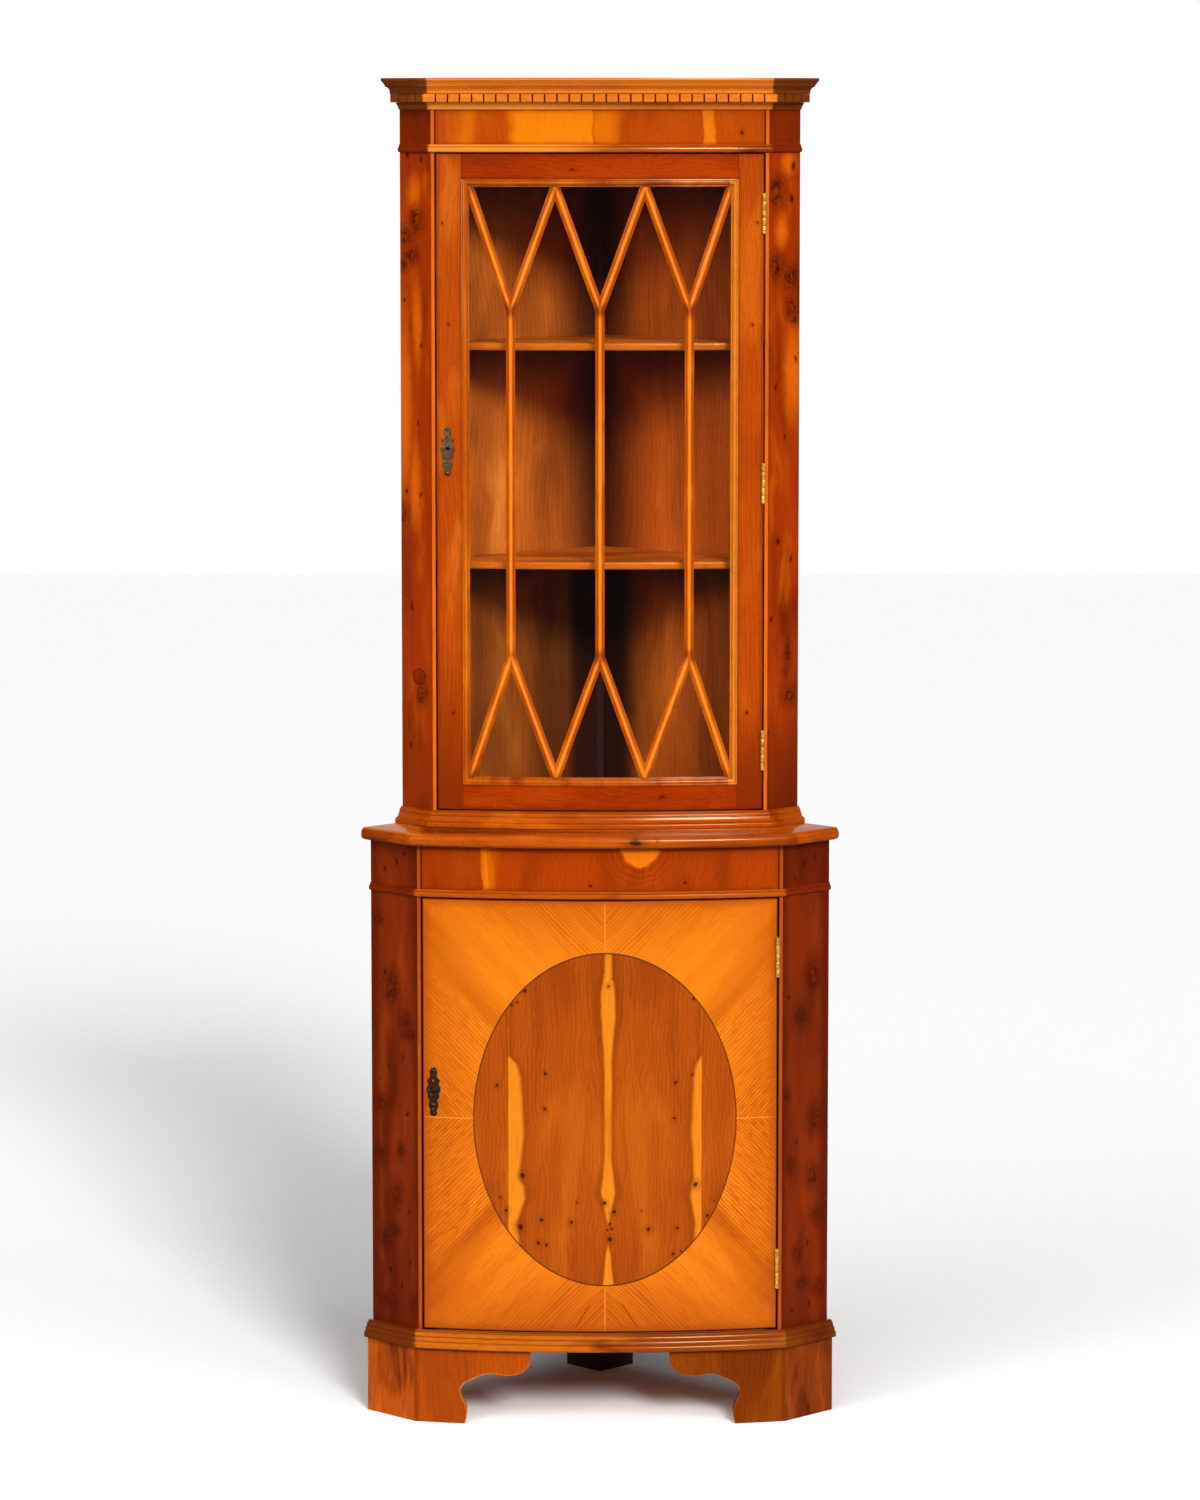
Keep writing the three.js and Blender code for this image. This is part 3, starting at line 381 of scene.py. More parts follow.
def yew(name, tones, along="z", seed=0.0, figure=1.0, lines=0.5, waves=9.0, loop=0.3, flame=1.0,
        knots=(), sap=None, rim=None, rim_tone=None, edge=None, shade=None, shine=0.18, gloss=lacquer):
    """Lacquered yew. Slow noise drawn out along the grain turns the mid tone deep or light. The
    growth lines are levels of the way across the grain plus slow noise, so that they wave and
    close to arches; fine noise drawn out further makes the fibres. Sap is the pale wood's mask,
    rim the distance from the piece's edges or from a moulding's quirks, within 7 mm of which the
    colour darkens towards rim_tone, edge the mask of a line rubbed pale.
    """
    deep, mid, light, pale = tones
    place = Shade.start(name)
    base = grain_frame(place, along).vector("ADD", (seed, seed * 0.7, seed * 1.3))
    bend = base.vector("MULTIPLY", (1, 1, 0.45)).noise(11, 2, out=1)
    bend = bend.vector("SUBTRACT", (0.5, 0.5, 0.5)).vector("MULTIPLY", (0.05, 0.05, 0.02))
    wild = base.vector("ADD", bend)
    clouds = wild.vector("MULTIPLY", (1, 1, 0.28)).noise(13 * figure, 3, 0.55, 0.4)
    colour = clouds.rise(0.47, 0.31).mix(mid, light)
    colour = (clouds.rise(0.49, 0.68) * flame).mix(colour, deep)
    slow = base.vector("MULTIPLY", (1, 1, loop)).noise(9 * figure, 2, 0.5, 0.3)
    level = base.split()[0] * 1000 + slow * (6.28 * waves)
    arcs = level.math("SINE", level).rise(-0.3, 1.0)
    colour = (arcs * (clouds.rise(0.28, 0.6) * 0.7 + 0.3) * (0.5 * lines)).mix(colour, deep)
    fine = wild.vector("MULTIPLY", (1, 1, 0.03)).noise(460, 2, 0.6)
    colour = (fine.rise(0.46, 0.66) * (0.6 * lines)).mix(colour, deep)
    if sap is not None:
        pale_wood = (fine.rise(0.45, 0.7) * 0.3).mix(pale, light)
        colour = sap(place).mix(colour, pale_wood)
    if knots:
        reach = nearest_knot(place, knots)
        colour = (reach.rise(3.4, 1.0) * 0.45).mix(colour, deep)
        colour = (reach.rise(1.25, 0.6) * 0.9).mix(colour, ember)
    # Darker within 7 mm of the rim; in a moulding's quirks this is painted shade.
    if rim is not None:
        ragged = (place.noise(60, 2) - 0.5) * 0.006
        rim_darkening = (rim(place) + ragged).rise(0.007, 0.0)
        colour = (rim_darkening * 0.55).mix(colour, rim_tone or deep)
    if edge is not None:
        colour = edge(place).mix(colour, pale)
    if shade is not None:
        colour = shade(place).mix(colour, deep)
    roughness = (clouds.rise(0.3, 0.7) * 0.05) + (fine.rise(0.4, 0.7) * 0.06) + shine
    grain = (fine * 0.6) + (place.noise(210, 2) * 0.5)
    return place.finish(colour, roughness, grain, 0.00005, **gloss)


def rectangle_rim(low_x, high_x, low_z, high_z):
    """The distance to the nearest side of an upright rectangle, as a function of the place."""
    def rim(place):
        x, _, z = place.split()
        return (x - low_x).least(high_x - x).least((z - low_z).least(high_z - z))
    return rim


bracket_run = 0.160
bracket_proud = 0.0105
bracket_board = 0.020
saw_shares = np.array([
    (0.415, 0), (0.428, 0.07), (0.435, 0.16), (0.418, 0.26), (0.384, 0.36), (0.374, 0.43),
    (0.388, 0.50), (0.430, 0.56), (0.500, 0.615), (0.560, 0.655), (0.620, 0.682), (0.690, 0.676),
    (0.760, 0.665), (0.835, 0.670), (0.900, 0.690), (0.945, 0.730), (0.978, 0.785),
    (0.994, 0.84), (1.0, 0.90),
])


def even_line(knots, count):
    """Count points along a line of knots: a smooth curve through them, by their chord length."""
    knots = np.asarray(knots, float)
    chord = np.r_[0, np.cumsum(np.hypot(*np.diff(knots, axis=0).T))]
    slope = np.gradient(knots, chord, axis=0)
    at = np.linspace(0, chord[-1], count)
    i = np.clip(np.searchsorted(chord, at, "right") - 1, 0, len(knots) - 2)
    span = (chord[i + 1] - chord[i])[:, None]
    t = ((at - chord[i]) / span[:, 0])[:, None]
    return (
        knots[i] * (2 * t ** 3 - 3 * t ** 2 + 1) + slope[i] * span * (t ** 3 - 2 * t ** 2 + t)
        + knots[i + 1] * (3 * t ** 2 - 2 * t ** 3) + slope[i + 1] * span * (t ** 3 - t ** 2)
    )


foot_share = np.concatenate([[0, 0.007, 0.025], np.linspace(0, 1, 14)[1:]])


def bracket_sheet(side, proud, outer_x):
    """One face of the bracket: straight lines drawn from the sawn edge across to the outer end,
    and further on up to the top edge, all bent on to the bow."""
    saw = even_line(saw_shares, 72)
    saw = np.stack([base_half_front - saw[:, 0] * bracket_run, saw[:, 1] * foot_height], 1)
    turn_at = 30
    up = np.linspace(0, foot_height, turn_at)
    in_x = np.linspace(outer_x, base_half_front - bracket_run, len(saw) - turn_at + 1)[1:]
    far = np.concatenate([
        np.stack([np.full(turn_at, outer_x), up], 1),
        np.stack([in_x, np.full(len(in_x), foot_height)], 1),
    ])
    share = foot_share[None, :, None]
    flat = saw[:, None, :] * (1 - share) + far[:, None, :] * share
    return np.stack([side * flat[..., 0], bow_y(base_stage, flat[..., 0], proud), flat[..., 1]], -1)


# The right foot's tones are painted darker than the left's: painted shade that offsets the daylight,
# which falls more on the right.
foot_tones = {}
foot_tones["left"] = (tone(105, 35, 1), tone(151, 61, 3), tone(176, 82, 5), tone(206, 118, 23))
foot_tones["right"] = (tone(69, 19, 1), tone(102, 38, 1), tone(119, 52, 3), tone(140, 76, 17))


def saw_rim(place):
    """The distance from the top edge, the cant's corner and the joint where the bracket's own
    board begins, 54 mm short of the sawn edge's inner end."""
    x, _, z = place.split()
    return (0.262 - abs(x)).least(abs(abs(x) - 0.190) + 0.0035).least(foot_height - z)


def worn_saw(place):
    """The sawn edge, rubbed pale: the share of the way in from it is kept with the mesh."""
    share = place.add("Attribute", {"attribute_name": "inward"}, {}, 2)
    return share.rise(0.022, 0.006) * 0.8


for word, side in (("left", -1), ("right", 1)):
    outer = cant_corner(base_stage, bracket_proud, bracket_proud)[0] - seat
    inner_proud = bracket_proud - bracket_board
    inner = cant_corner(base_stage, inner_proud, inner_proud)[0] - seat
    points, faces = shell(
        bracket_sheet(side, bracket_proud, outer), bracket_sheet(side, inner_proud, inner)
    )
    veneer = yew(
        word + "_foot_veneer", foot_tones[word], "z", seed=2.1 + side, figure=1.1, lines=0.45,
        waves=14.0, flame=0.35, rim=saw_rim, rim_tone=tone(84, 26, 2), edge=worn_saw,
    )
    put(word + "_bracket_foot_face", points, faces, veneer, "root", "yew_veneer",
        [word + "_bracket_foot"], ease=0.0011, keep={"inward": np.tile(foot_share, 144)})


def dress(material, *names):
    """Gives a CAD node, whose shape stays as it is, its material."""
    for name in names:
        nodes[name].data.materials.clear()
        nodes[name].data.materials.append(material)


# ---------------------------------------------------------------------------------------------
# Plinth returns and rear foot: straight boards behind the bracket feet, running back to the two
# walls, and a square block under the corner of the room that nobody sees.
# ---------------------------------------------------------------------------------------------
# The right return's tones are painted darker than the left's: painted shade that offsets the daylight,
# which falls more on the right.
return_tones = {
    "left": (tone(105, 34, 2), tone(178, 76, 6), tone(205, 98, 12), tone(228, 134, 22)),
    "right": (tone(70, 20, 2), tone(118, 46, 6), tone(140, 60, 11), tone(164, 86, 17)),
}
for word in ("left", "right"):
    return_veneer = yew(word + "_return_veneer", return_tones[word], "z", seed=5.2, figure=1.6)
    dress(return_veneer, word + "_plinth_return")
plain_tones = (tone(132, 68, 28), tone(168, 96, 44), tone(182, 110, 54), tone(214, 150, 90))
matt = {"Specular_IOR_Level": 0.2}
carcass_wood = yew("carcass_wood", plain_tones, "z", seed=7.7, lines=0.5, flame=0.4, shine=0.5,
                   gloss=matt)
dark_wood = yew("rear_foot_wood", (tone(40, 22, 12), tone(62, 36, 20), tone(76, 46, 27),
                tone(96, 60, 36)), "z", seed=8.8, lines=0.35, shine=0.6, gloss=matt)
dress(dark_wood, "rear_foot")


# ---------------------------------------------------------------------------------------------
# Plinth moulding: a solid yew moulding of three reeds over a fillet, run round the base from wall
# to wall, mitred at both corners of the front and glued over the bracket feet.
# ---------------------------------------------------------------------------------------------
def front_line(stage, proud, count=80):
    """The front in plan moved out by proud: wall, corner, even steps on the bow, corner, wall."""
    corner = cant_corner(stage, proud, proud)
    wall = beside_wall(stage[1] + proud, wall_inset, 1)
    x = np.linspace(-corner[0], corner[0], count)
    bow = np.stack([x, bow_y(stage, x, proud)], 1)
    return np.concatenate([[wall * (-1, 1)], bow, [wall]])


def sweep(lines):
    """A profile carried along a path: lines holds one line of points for each profile point.

    Neighbouring lines are joined by quads, the last with the first, and both ends are capped.
    """
    lines = np.asarray(lines)
    around, along = lines.shape[:2]
    index = np.arange(around * along).reshape(around, along)
    after = np.roll(index, -1, axis=0)
    quads = np.stack([index[:, :-1], index[:, 1:], after[:, 1:], after[:, :-1]], -1)
    caps = [index[:, 0][None], index[::-1, -1][None]]
    return lines.reshape(-1, 3), [quads.reshape(-1, 4), *caps]


def drawn(*strokes):
    """A profile from strokes of knots: smooth within a stroke and cornered between two."""
    lines = [even_line(knots, 2 if len(knots) == 2 else 9) for knots in strokes]
    return np.concatenate([line[: -1] for line in lines[:-1]] + [lines[-1]])


def moulding(stage, profile, proud, low, height):
    """Carries a profile, in shares of proud and height, round the front and closes its back."""
    face = profile * (proud, height)
    shape = np.concatenate([face, [(seat, height), (seat, 0)]])
    return sweep([
        np.column_stack([front_line(stage, out), np.full(82, low + up)]) for out, up in shape
    ])


def worn_yew(name, tones, low, height, hollows, cant_tone, seed, dark=0.75,
             streaks=1.0, turns=()):
    """Moulding wood: grain along the run, darker in the hollows (shares of the height) and
    darker on both cants. A turn is a slow change along the front to another tone: the x
    where it begins, the x where it is full, its force and its tone."""
    deep, mid, light, _ = tones
    place = Shade.start(name)
    x, y, z = place.split()
    run = place.join(z * 1.0, y, x + seed).vector("ADD", (seed, 0, 0))
    bend = run.vector("MULTIPLY", (1, 1, 0.2)).noise(24, 2, out=1)
    bend = bend.vector("SUBTRACT", (0.5, 0.5, 0.5)).vector("MULTIPLY", (0.02, 0.02, 0.02))
    wild = run.vector("ADD", bend)
    clouds = wild.vector("MULTIPLY", (1, 1, 0.35)).noise(16, 3, 0.6)
    fine = wild.vector("MULTIPLY", (1, 1, 0.03)).noise(520, 3, 0.6)
    colour = clouds.rise(0.42, 0.30).mix(mid, light)
    colour = (clouds.rise(0.52, 0.70) * streaks).mix(colour, deep)
    colour = (fine.rise(0.48, 0.7) * (0.4 * streaks)).mix(colour, deep)
    half = cant_corner(base_stage, 0, 0)[0] if low < 0.86 else cant_corner(upper_stage, 0, 0)[0]
    aside = (abs(x) + (place.noise(120, 2) - 0.5) * 0.002).rise(half + 0.002, half + 0.006)
    for begins, full, force, turned in turns:
        colour = (x.rise(begins, full) * (1.0 - aside) * force).mix(colour, turned)
    level = (z - low) / height
    # Darker in the hollows of the profile.
    for at, reach in hollows:
        hollow_darkening = abs(level - at).rise(reach, 0.0) * (clouds.rise(0.2, 0.6) * 0.4 + 0.6)
        colour = (hollow_darkening * dark).mix(colour, tone(84, 26, 6))
    # Darker on both cants.
    colour = (aside * 0.85).mix(colour, cant_tone)
    roughness = fine.rise(0.35, 0.7) * 0.07 + 0.17
    return place.finish(
        colour, roughness, fine * 0.6 + place.noise(260, 2) * 0.5, 0.00006,
        **lacquer,
    )


upper_half_front = 0.238
upper_setback = 0.067
upper_stage = stage_of(upper_half_front, upper_setback)
plinth_low = foot_height + seat
plinth_height = 0.0242
plinth_proud = 0.018
plinth_profile = drawn(
    [(1.0, 0.0), (1.0, 0.17)],
    [(1.0, 0.17), (0.985, 0.27), (0.935, 0.34), (0.86, 0.375)],
    [(0.86, 0.375), (0.85, 0.42)],
    [(0.85, 0.42), (0.835, 0.53), (0.785, 0.61), (0.70, 0.65)],
    [(0.70, 0.65), (0.685, 0.69)],
    [(0.685, 0.69), (0.67, 0.80), (0.61, 0.885), (0.51, 0.925)],
    [(0.51, 0.925), (0.46, 1.0)],
)
plinth_tones = (tone(103, 35, 2), tone(166, 82, 8), tone(191, 110, 20), tone(205, 134, 31))
plinth_wood = worn_yew(
    "plinth_moulding_wood", plinth_tones, plinth_low, plinth_height,
    [(0.0, 0.1), (0.40, 0.05), (0.67, 0.05), (0.95, 0.08)], tone(78, 26, 4), 0.3,
    turns=[(0.02, 0.06, 0.75, plinth_tones[0])],
)
points, blocks = moulding(base_stage, plinth_profile, plinth_proud, plinth_low, plinth_height)
put("plinth_moulding_run", points, blocks, plinth_wood, "root", "yew_moulding",
    ["plinth_moulding"], ease=0.0004)


# ---------------------------------------------------------------------------------------------
# Base carcass: canted stiles veneered in dark burr yew, each with a pale strip beside the door,
# plain back panels against the walls, and a bottom board and a shelf housed between them.
# ---------------------------------------------------------------------------------------------
strip_width = 0.0065
base_opening = base_half_front - strip_width
base_door_low = 0.1345
base_top = 0.8287
burr_tones = (tone(73, 15, 1), tone(116, 34, 1), tone(138, 48, 2), tone(159, 61, 4))


def burr_stile(name, tones, seed, knots, flecks, strip_at, strip_tones, frieze, contrast=1.0,
               reach_out=0.0, glows=(), discs=(), low_dark=0.0):
    """Burr yew on a cant: two depths of upright clouds, large dim knots that are dark rings with
    a mottled middle and swirling lines round them, discs (round knots cut clean across), small
    dark flecks, and on the narrow return beside the door (nearer the middle than strip_at) a
    straight paler strip. Glows are pale ovals; low_dark darkens the foot of the upper stage."""
    deep, mid, light, pale = tones
    place = Shade.start(name)
    base = grain_frame(place, "cant").vector("ADD", (seed, seed * 0.7, seed * 1.3))
    bend = base.vector("MULTIPLY", (1, 1, 0.5)).noise(16, 2, out=1)
    bend = bend.vector("SUBTRACT", (0.5, 0.5, 0.5)).vector("MULTIPLY", (0.032, 0.032, 0.03))
    wild = base.vector("ADD", bend)
    clouds = base.vector("ADD", bend.vector("MULTIPLY", (0.5, 0.5, 0.5))).vector(
        "MULTIPLY", (1, 1, 0.2)).noise(19, 2, 0.5)
    flames = wild.vector("MULTIPLY", (1, 1, 0.2)).noise(34, 3, 0.5)
    colour = clouds.rise(0.44, 0.24).mix(mid, light)
    colour = (clouds.rise(0.50, 0.72) * (0.95 * contrast)).mix(colour, deep)
    colour = (flames.rise(0.47, 0.28) * (0.6 * contrast - 0.15)).mix(colour, pale)
    colour = (flames.rise(0.50, 0.70) * (0.45 * contrast)).mix(colour, deep)
    if glows:
        colour = (nearest_knot(place, glows).rise(1.8, 0.1) * 0.8).mix(colour, pale)
    fine = wild.vector("MULTIPLY", (1, 1, 0.04)).noise(420, 2, 0.6)
    colour = (fine.rise(0.46, 0.7) * 0.14).mix(colour, deep)

    reach = nearest_knot(place, knots)
    mottle = place.noise(170, 3, 0.6, 1.0)
    whorl = place.noise(75, 3, 0.6, 1.5)
    level = reach * 6.0 + whorl * 9.0
    swirl = level.math("SINE", level).rise(0.1, 1.0) * reach.rise(2.2, 0.8)
    colour = (swirl * 0.5).mix(colour, deep)
    colour = (reach.rise(2.3, 0.8) * 0.40).mix(colour, deep)
    ring = reach.rise(0.70, 0.95) * reach.rise(1.3, 1.0) * whorl.rise(0.42, 0.58)
    middle = reach.rise(1.0, 0.6) * whorl.rise(0.44, 0.56) * 0.8
    colour = ((ring * 0.6).most(middle) * contrast).mix(colour, ember)
    if discs:
        round_knot = nearest_knot(place, discs)
        colour = (round_knot.rise(1.08, 0.92) * 0.6).mix(colour, deep)
        colour = (abs(round_knot - 0.98).rise(0.18, 0.02) * 0.5).mix(colour, ember)
    x, _, z = place.split()
    colour = (z.rise(frieze, frieze + 0.002) * 0.55).mix(colour, deep)
    if low_dark:
        colour = (z.rise(1.06, 0.89) * low_dark).mix(colour, deep)
    if reach_out:
        inside = (abs(x) - strip_at).least(reach_out - abs(x)) + (mottle - 0.5) * 0.012
        inside = inside.rise(0.013, 0.0).most(z.rise(0.30, 0.13) * 0.7)
        colour = (inside * 0.7).mix(colour, deep)
    small = nearest_knot(place, flecks)
    colour = (small.rise(2.6, 1.0) * 0.4).mix(colour, deep)
    colour = (small.rise(1.3, 0.6) * 0.85).mix(colour, ember)

    strip_wood = (fine.rise(0.45, 0.7) * 0.4).mix(*strip_tones)
    strip_wood = (clouds.rise(0.45, 0.7) * 0.5).mix(strip_wood, strip_tones[1])
    strip_wood = abs(x).rise(strip_at - 0.0048, strip_at - 0.0056).mix(strip_wood, ember)
    colour = abs(x).rise(strip_at + 0.0002, strip_at - 0.0002).mix(colour, strip_wood)
    colour = (abs(abs(x) - strip_at).rise(0.0013, 0.0002) * 0.6).mix(colour, deep)
    roughness = flames.rise(0.3, 0.7) * 0.06 + (fine.rise(0.4, 0.7) * 0.05) + 0.19
    return place.finish(colour, roughness, fine * 0.5 + mottle * 0.25, 0.00006, **lacquer)


base_knots = {
    "left": [(-316, 716, 6, 9), (-297, 620, 9, 22), (-277, 574, 8, 12), (-271, 556, 9, 8),
             (-312, 449, 10, 9), (-316, 375, 9, 11), (-285, 386, 5, 10), (-289, 322, 6, 15),
             (-308, 254, 9, 11), (-295, 268, 8, 9), (-303, 165, 10, 9), (-264, 168, 6, 12)],
    "right": [(304, 634, 10, 24), (285, 580, 9, 15), (264, 468, 5, 9), (307, 428, 10, 17),
              (303, 345, 7, 14), (270, 366, 5, 9), (313, 288, 9, 11), (289, 192, 7, 7),
              (314, 180, 8, 10), (281, 236, 5, 11)],
}
base_flecks = {
    "left": [(-306, 640, 1.6, 3), (-280, 520, 1.5, 3.5), (-300, 505, 1.6, 4), (-275, 440, 1.6, 3),
             (-272, 300, 1.4, 3), (-300, 210, 1.6, 4), (-283, 190, 1.5, 4), (-271, 225, 1.5, 3),
             (-288, 802, 1.6, 5), (-306, 790, 2, 4), (-277, 815, 1.5, 3)],
    "right": [(286, 573, 2.0, 2.6), (307, 340, 1.6, 3), (280, 400, 1.5, 4), (296, 250, 1.6, 4),
              (275, 155, 1.5, 3), (300, 160, 1.6, 3), (268, 610, 1.2, 3), (290, 798, 2, 4),
              (306, 806, 1.6, 3), (276, 780, 1.5, 3)],
}
for word, side, frieze in (("left", -1, base_top), ("right", 1, 0.767)):
    stile_wood = burr_stile(
        "base_" + word + "_stile_burr", burr_tones, 13 + side * 11.3, base_knots[word],
        base_flecks[word], base_half_front, (tone(152, 66, 15), tone(112, 40, 7)), frieze, 0.75,
        0.321)
    dress(stile_wood, "base_" + word + "_stile")
shelf_wood = yew("shelf_wood", (tone(110, 44, 10), tone(168, 84, 32), tone(196, 104, 44),
                 tone(226, 140, 66)), "x", seed=3.3, lines=0.4, shine=0.36)
dress(shelf_wood, "base_bottom_board", "base_shelf", "upper_bottom_board", "upper_top_board")
panel_thick, stile_thick = 0.014, 0.018
for word, side in (("left", -1), ("right", 1)):
    far = base_stage[1] - stile_thick - seat
    plan = np.array([beside_wall(*spot, side) for spot in (
        (seat / 2, seat / 2), (seat, 0), (far, 0), (far, panel_thick), (panel_thick, panel_thick))])
    points, blocks = sweep(np.stack([np.column_stack([plan, np.full(5, level)])
                                     for level in (plinth_low, base_top)], 1))
    put("base_" + word + "_back_board", points, blocks, carcass_wood, "root", "interior_veneer",
        ["base_" + word + "_back_panel"])


# ---------------------------------------------------------------------------------------------
# Base frieze: a bowed board veneered in figured yew with its grain along, with one straight and
# one half-round patch of sapwood, over a half-round moulding at its lower edge.
# ---------------------------------------------------------------------------------------------
def bow_sheet(stage, low_x, high_x, low_z, high_z, proud, across=64, up=12):
    """A grid on the bow moved out by proud, between two places along X and two levels."""
    x, z = np.meshgrid(np.linspace(low_x, high_x, across), np.linspace(low_z, high_z, up),
                       indexing="ij")
    return np.stack([x, bow_y(stage, x, proud), z], -1)


def bow_board(stage, half, low, high, front, back, across=64, up=12):
    """A bowed board between two levels, as wide on the left as on the right."""
    return shell(bow_sheet(stage, -half, half, low, high, front, across, up),
                 bow_sheet(stage, -half, half, low, high, back, across, up))


def bands(*spots):
    """Upright bands of sapwood: lowest and highest x, how soft each of these two edges is, and
    the force, all but the last in mm. Slow noise makes the edges wander."""
    def sap(place):
        x, _, z = place.split()
        bent = x + (place.vector("MULTIPLY", (0.3, 1, 1)).noise(38, 2) - 0.5) * 0.014
        mask = None
        for low, high, soft_low, soft_high, force in spots:
            rising = bent.rise((low - soft_low) / 1000, (low + soft_low) / 1000)
            falling = bent.rise((high + soft_high) / 1000, (high - soft_high) / 1000)
            here = rising * falling * force
            mask = here if mask is None else mask.most(here)
        return mask
    return sap


def hanging_patch(place):
    """The half-round of sapwood that hangs from the top edge of the base frieze, as a distance
    from its middle in its own size, so that the growth lines can ring it."""
    wander = place.noise(70, 2, out=1).vector("SUBTRACT", (0.5, 0.5, 0.5))
    away = place.vector("ADD", wander.vector("MULTIPLY", (0.012, 0, 0.012)))
    away = away.vector("SUBTRACT", (0.056, 0, 0.829)).vector("MULTIPLY", (1 / 0.026, 0, 1 / 0.027))
    return away.vector("LENGTH", (0, 0, 0), 1)


def frieze_shade(place):
    """Growth lines that ring the hanging patch and fade out within three of its sizes, and the
    deeper tone of the leaf to the left of the straight strip."""
    reach = hanging_patch(place)
    level = reach * 21.0
    rings = level.math("SINE", level).rise(-0.4, 1.0) * reach.rise(3.0, 1.2) * reach.rise(1.05, 1.2)
    return (rings * 0.5).most((place.split()[0] * -1.0).rise(0.162, 0.168) * 0.35)


def base_frieze_sap(place):
    strip = bands((-167, -157, 0.8, 2.5, 0.8), (-157, -150, 1, 3, 0.3))(place)
    return strip.most(hanging_patch(place).rise(1.12, 0.9))


frieze_board = 0.018
base_frieze_low = 0.7555
frieze_half = base_opening - seat
frieze_tones = (tone(111, 32, 0), tone(149, 51, 2), tone(163, 66, 2), tone(203, 102, 7))
base_frieze_wood = yew(
    "base_frieze_veneer", frieze_tones, "z", seed=4.4, figure=0.9, lines=0.45, waves=20.0,
    loop=0.9, flame=0.7, sap=base_frieze_sap, knots=[(-14, 776, 2.0, 2.0), (120, 778, 2.0, 2.0)],
    rim=rectangle_rim(-0.2525, 0.2525, 0.766, base_top), shade=frieze_shade,
)
points, blocks = bow_board(base_stage, frieze_half, base_frieze_low, base_top, 0, -frieze_board)
put("base_frieze_board", points, blocks, base_frieze_wood, "root", "yew_veneer",
    ["base_frieze"], ease=0.0006)
bead_height = 0.011
bead_proud = 0.004
bead_profile = drawn(
    [(0.45, 0.0), (0.5, 0.05)],
    [(0.5, 0.05), (0.88, 0.12), (1.0, 0.34), (0.9, 0.56), (0.58, 0.66)],
    [(0.58, 0.66), (0.5, 0.70)],
    [(0.5, 0.70), (0.45, 1.0)],
)
bead_tones = (tone(98, 28, 2), tone(158, 67, 6), tone(188, 92, 14), tone(226, 136, 22))
base_bead_wood = worn_yew(
    "base_frieze_moulding_wood", bead_tones, base_frieze_low, bead_height,
    [(0.0, 0.12), (0.70, 0.10)], tone(98, 16, 2), 1.3,
)
points, blocks = moulding(base_stage, bead_profile, bead_proud, base_frieze_low, bead_height)
put("base_frieze_moulding_run", points, blocks, base_bead_wood, "root", "yew_dark",
    ["base_frieze_moulding"])


# ---------------------------------------------------------------------------------------------
# Waist board: one thick board over the whole base, veneered on top, with a rounded solid edge
# that the hand has rubbed pale, and a knot showing in the edge to the right of the middle.
# ---------------------------------------------------------------------------------------------
waist_low = base_top + seat
waist_thick = 0.018
waist_profile = drawn(
    [(0.60, 0.0), (0.62, 0.06)],
    [(0.62, 0.06), (0.86, 0.11), (0.975, 0.26), (1.0, 0.46), (0.975, 0.68), (0.90, 0.82)],
    [(0.90, 0.82), (0.86, 0.84)],
    [(0.86, 0.84), (0.80, 0.94), (0.66, 1.0)],
)
waist_tones = (tone(100, 32, 2), tone(165, 69, 5), tone(194, 95, 14), tone(222, 118, 18))


def waist_sap(place):
    """The top's left end, past the corner of the front, was veneered in paler wood."""
    x, _, z = place.split()
    return (x * -1.0).rise(0.244, 0.262) * z.rise(0.8440, 0.8462) * 0.4


waist_wood = yew(
    "waist_board_veneer", waist_tones, "x", seed=6.1, figure=0.8, lines=0.45,
    knots=[(50, 838, 9, 5), (80, 842, 2, 2)], sap=waist_sap,
)
rear = np.array([0, wall_corner - wall_inset * math.sqrt(2) + shift])
waist_lines = [
    np.column_stack([front_line(base_stage, out * waist_proud),
                     np.full(82, waist_low + up * waist_thick)])
    for out, up in waist_profile
]
waist_lines += [np.tile([*rear, waist_low + up], (82, 1)) for up in (waist_thick, 0)]
points, blocks = sweep(waist_lines)
put("waist_board_top", points, blocks, waist_wood, "root", "yew_veneer", ["waist_board"])


# ---------------------------------------------------------------------------------------------
# Base door: a bowed panel with quartered straight-grained yew laid in four matched leaves that
# meet on a cross, and an oval of burr yew in four leaves let into it inside a thin dark line.
# ---------------------------------------------------------------------------------------------
base_door_half = 0.251
base_door_high = 0.7535
door_thick = 0.020
cross_x, cross_z = 0.007, 0.440
oval_half_x, oval_half_z = 0.186, 0.2385
leaf_width = 0.137
field_deep, field_mid = tone(143, 58, 5), tone(206, 107, 15)
field_light, field_seam = tone(219, 118, 17), tone(108, 40, 3)
oval_deep, oval_mid = tone(116, 43, 3), tone(150, 65, 8)
oval_light, oval_pale = tone(162, 76, 12), tone(196, 111, 19)
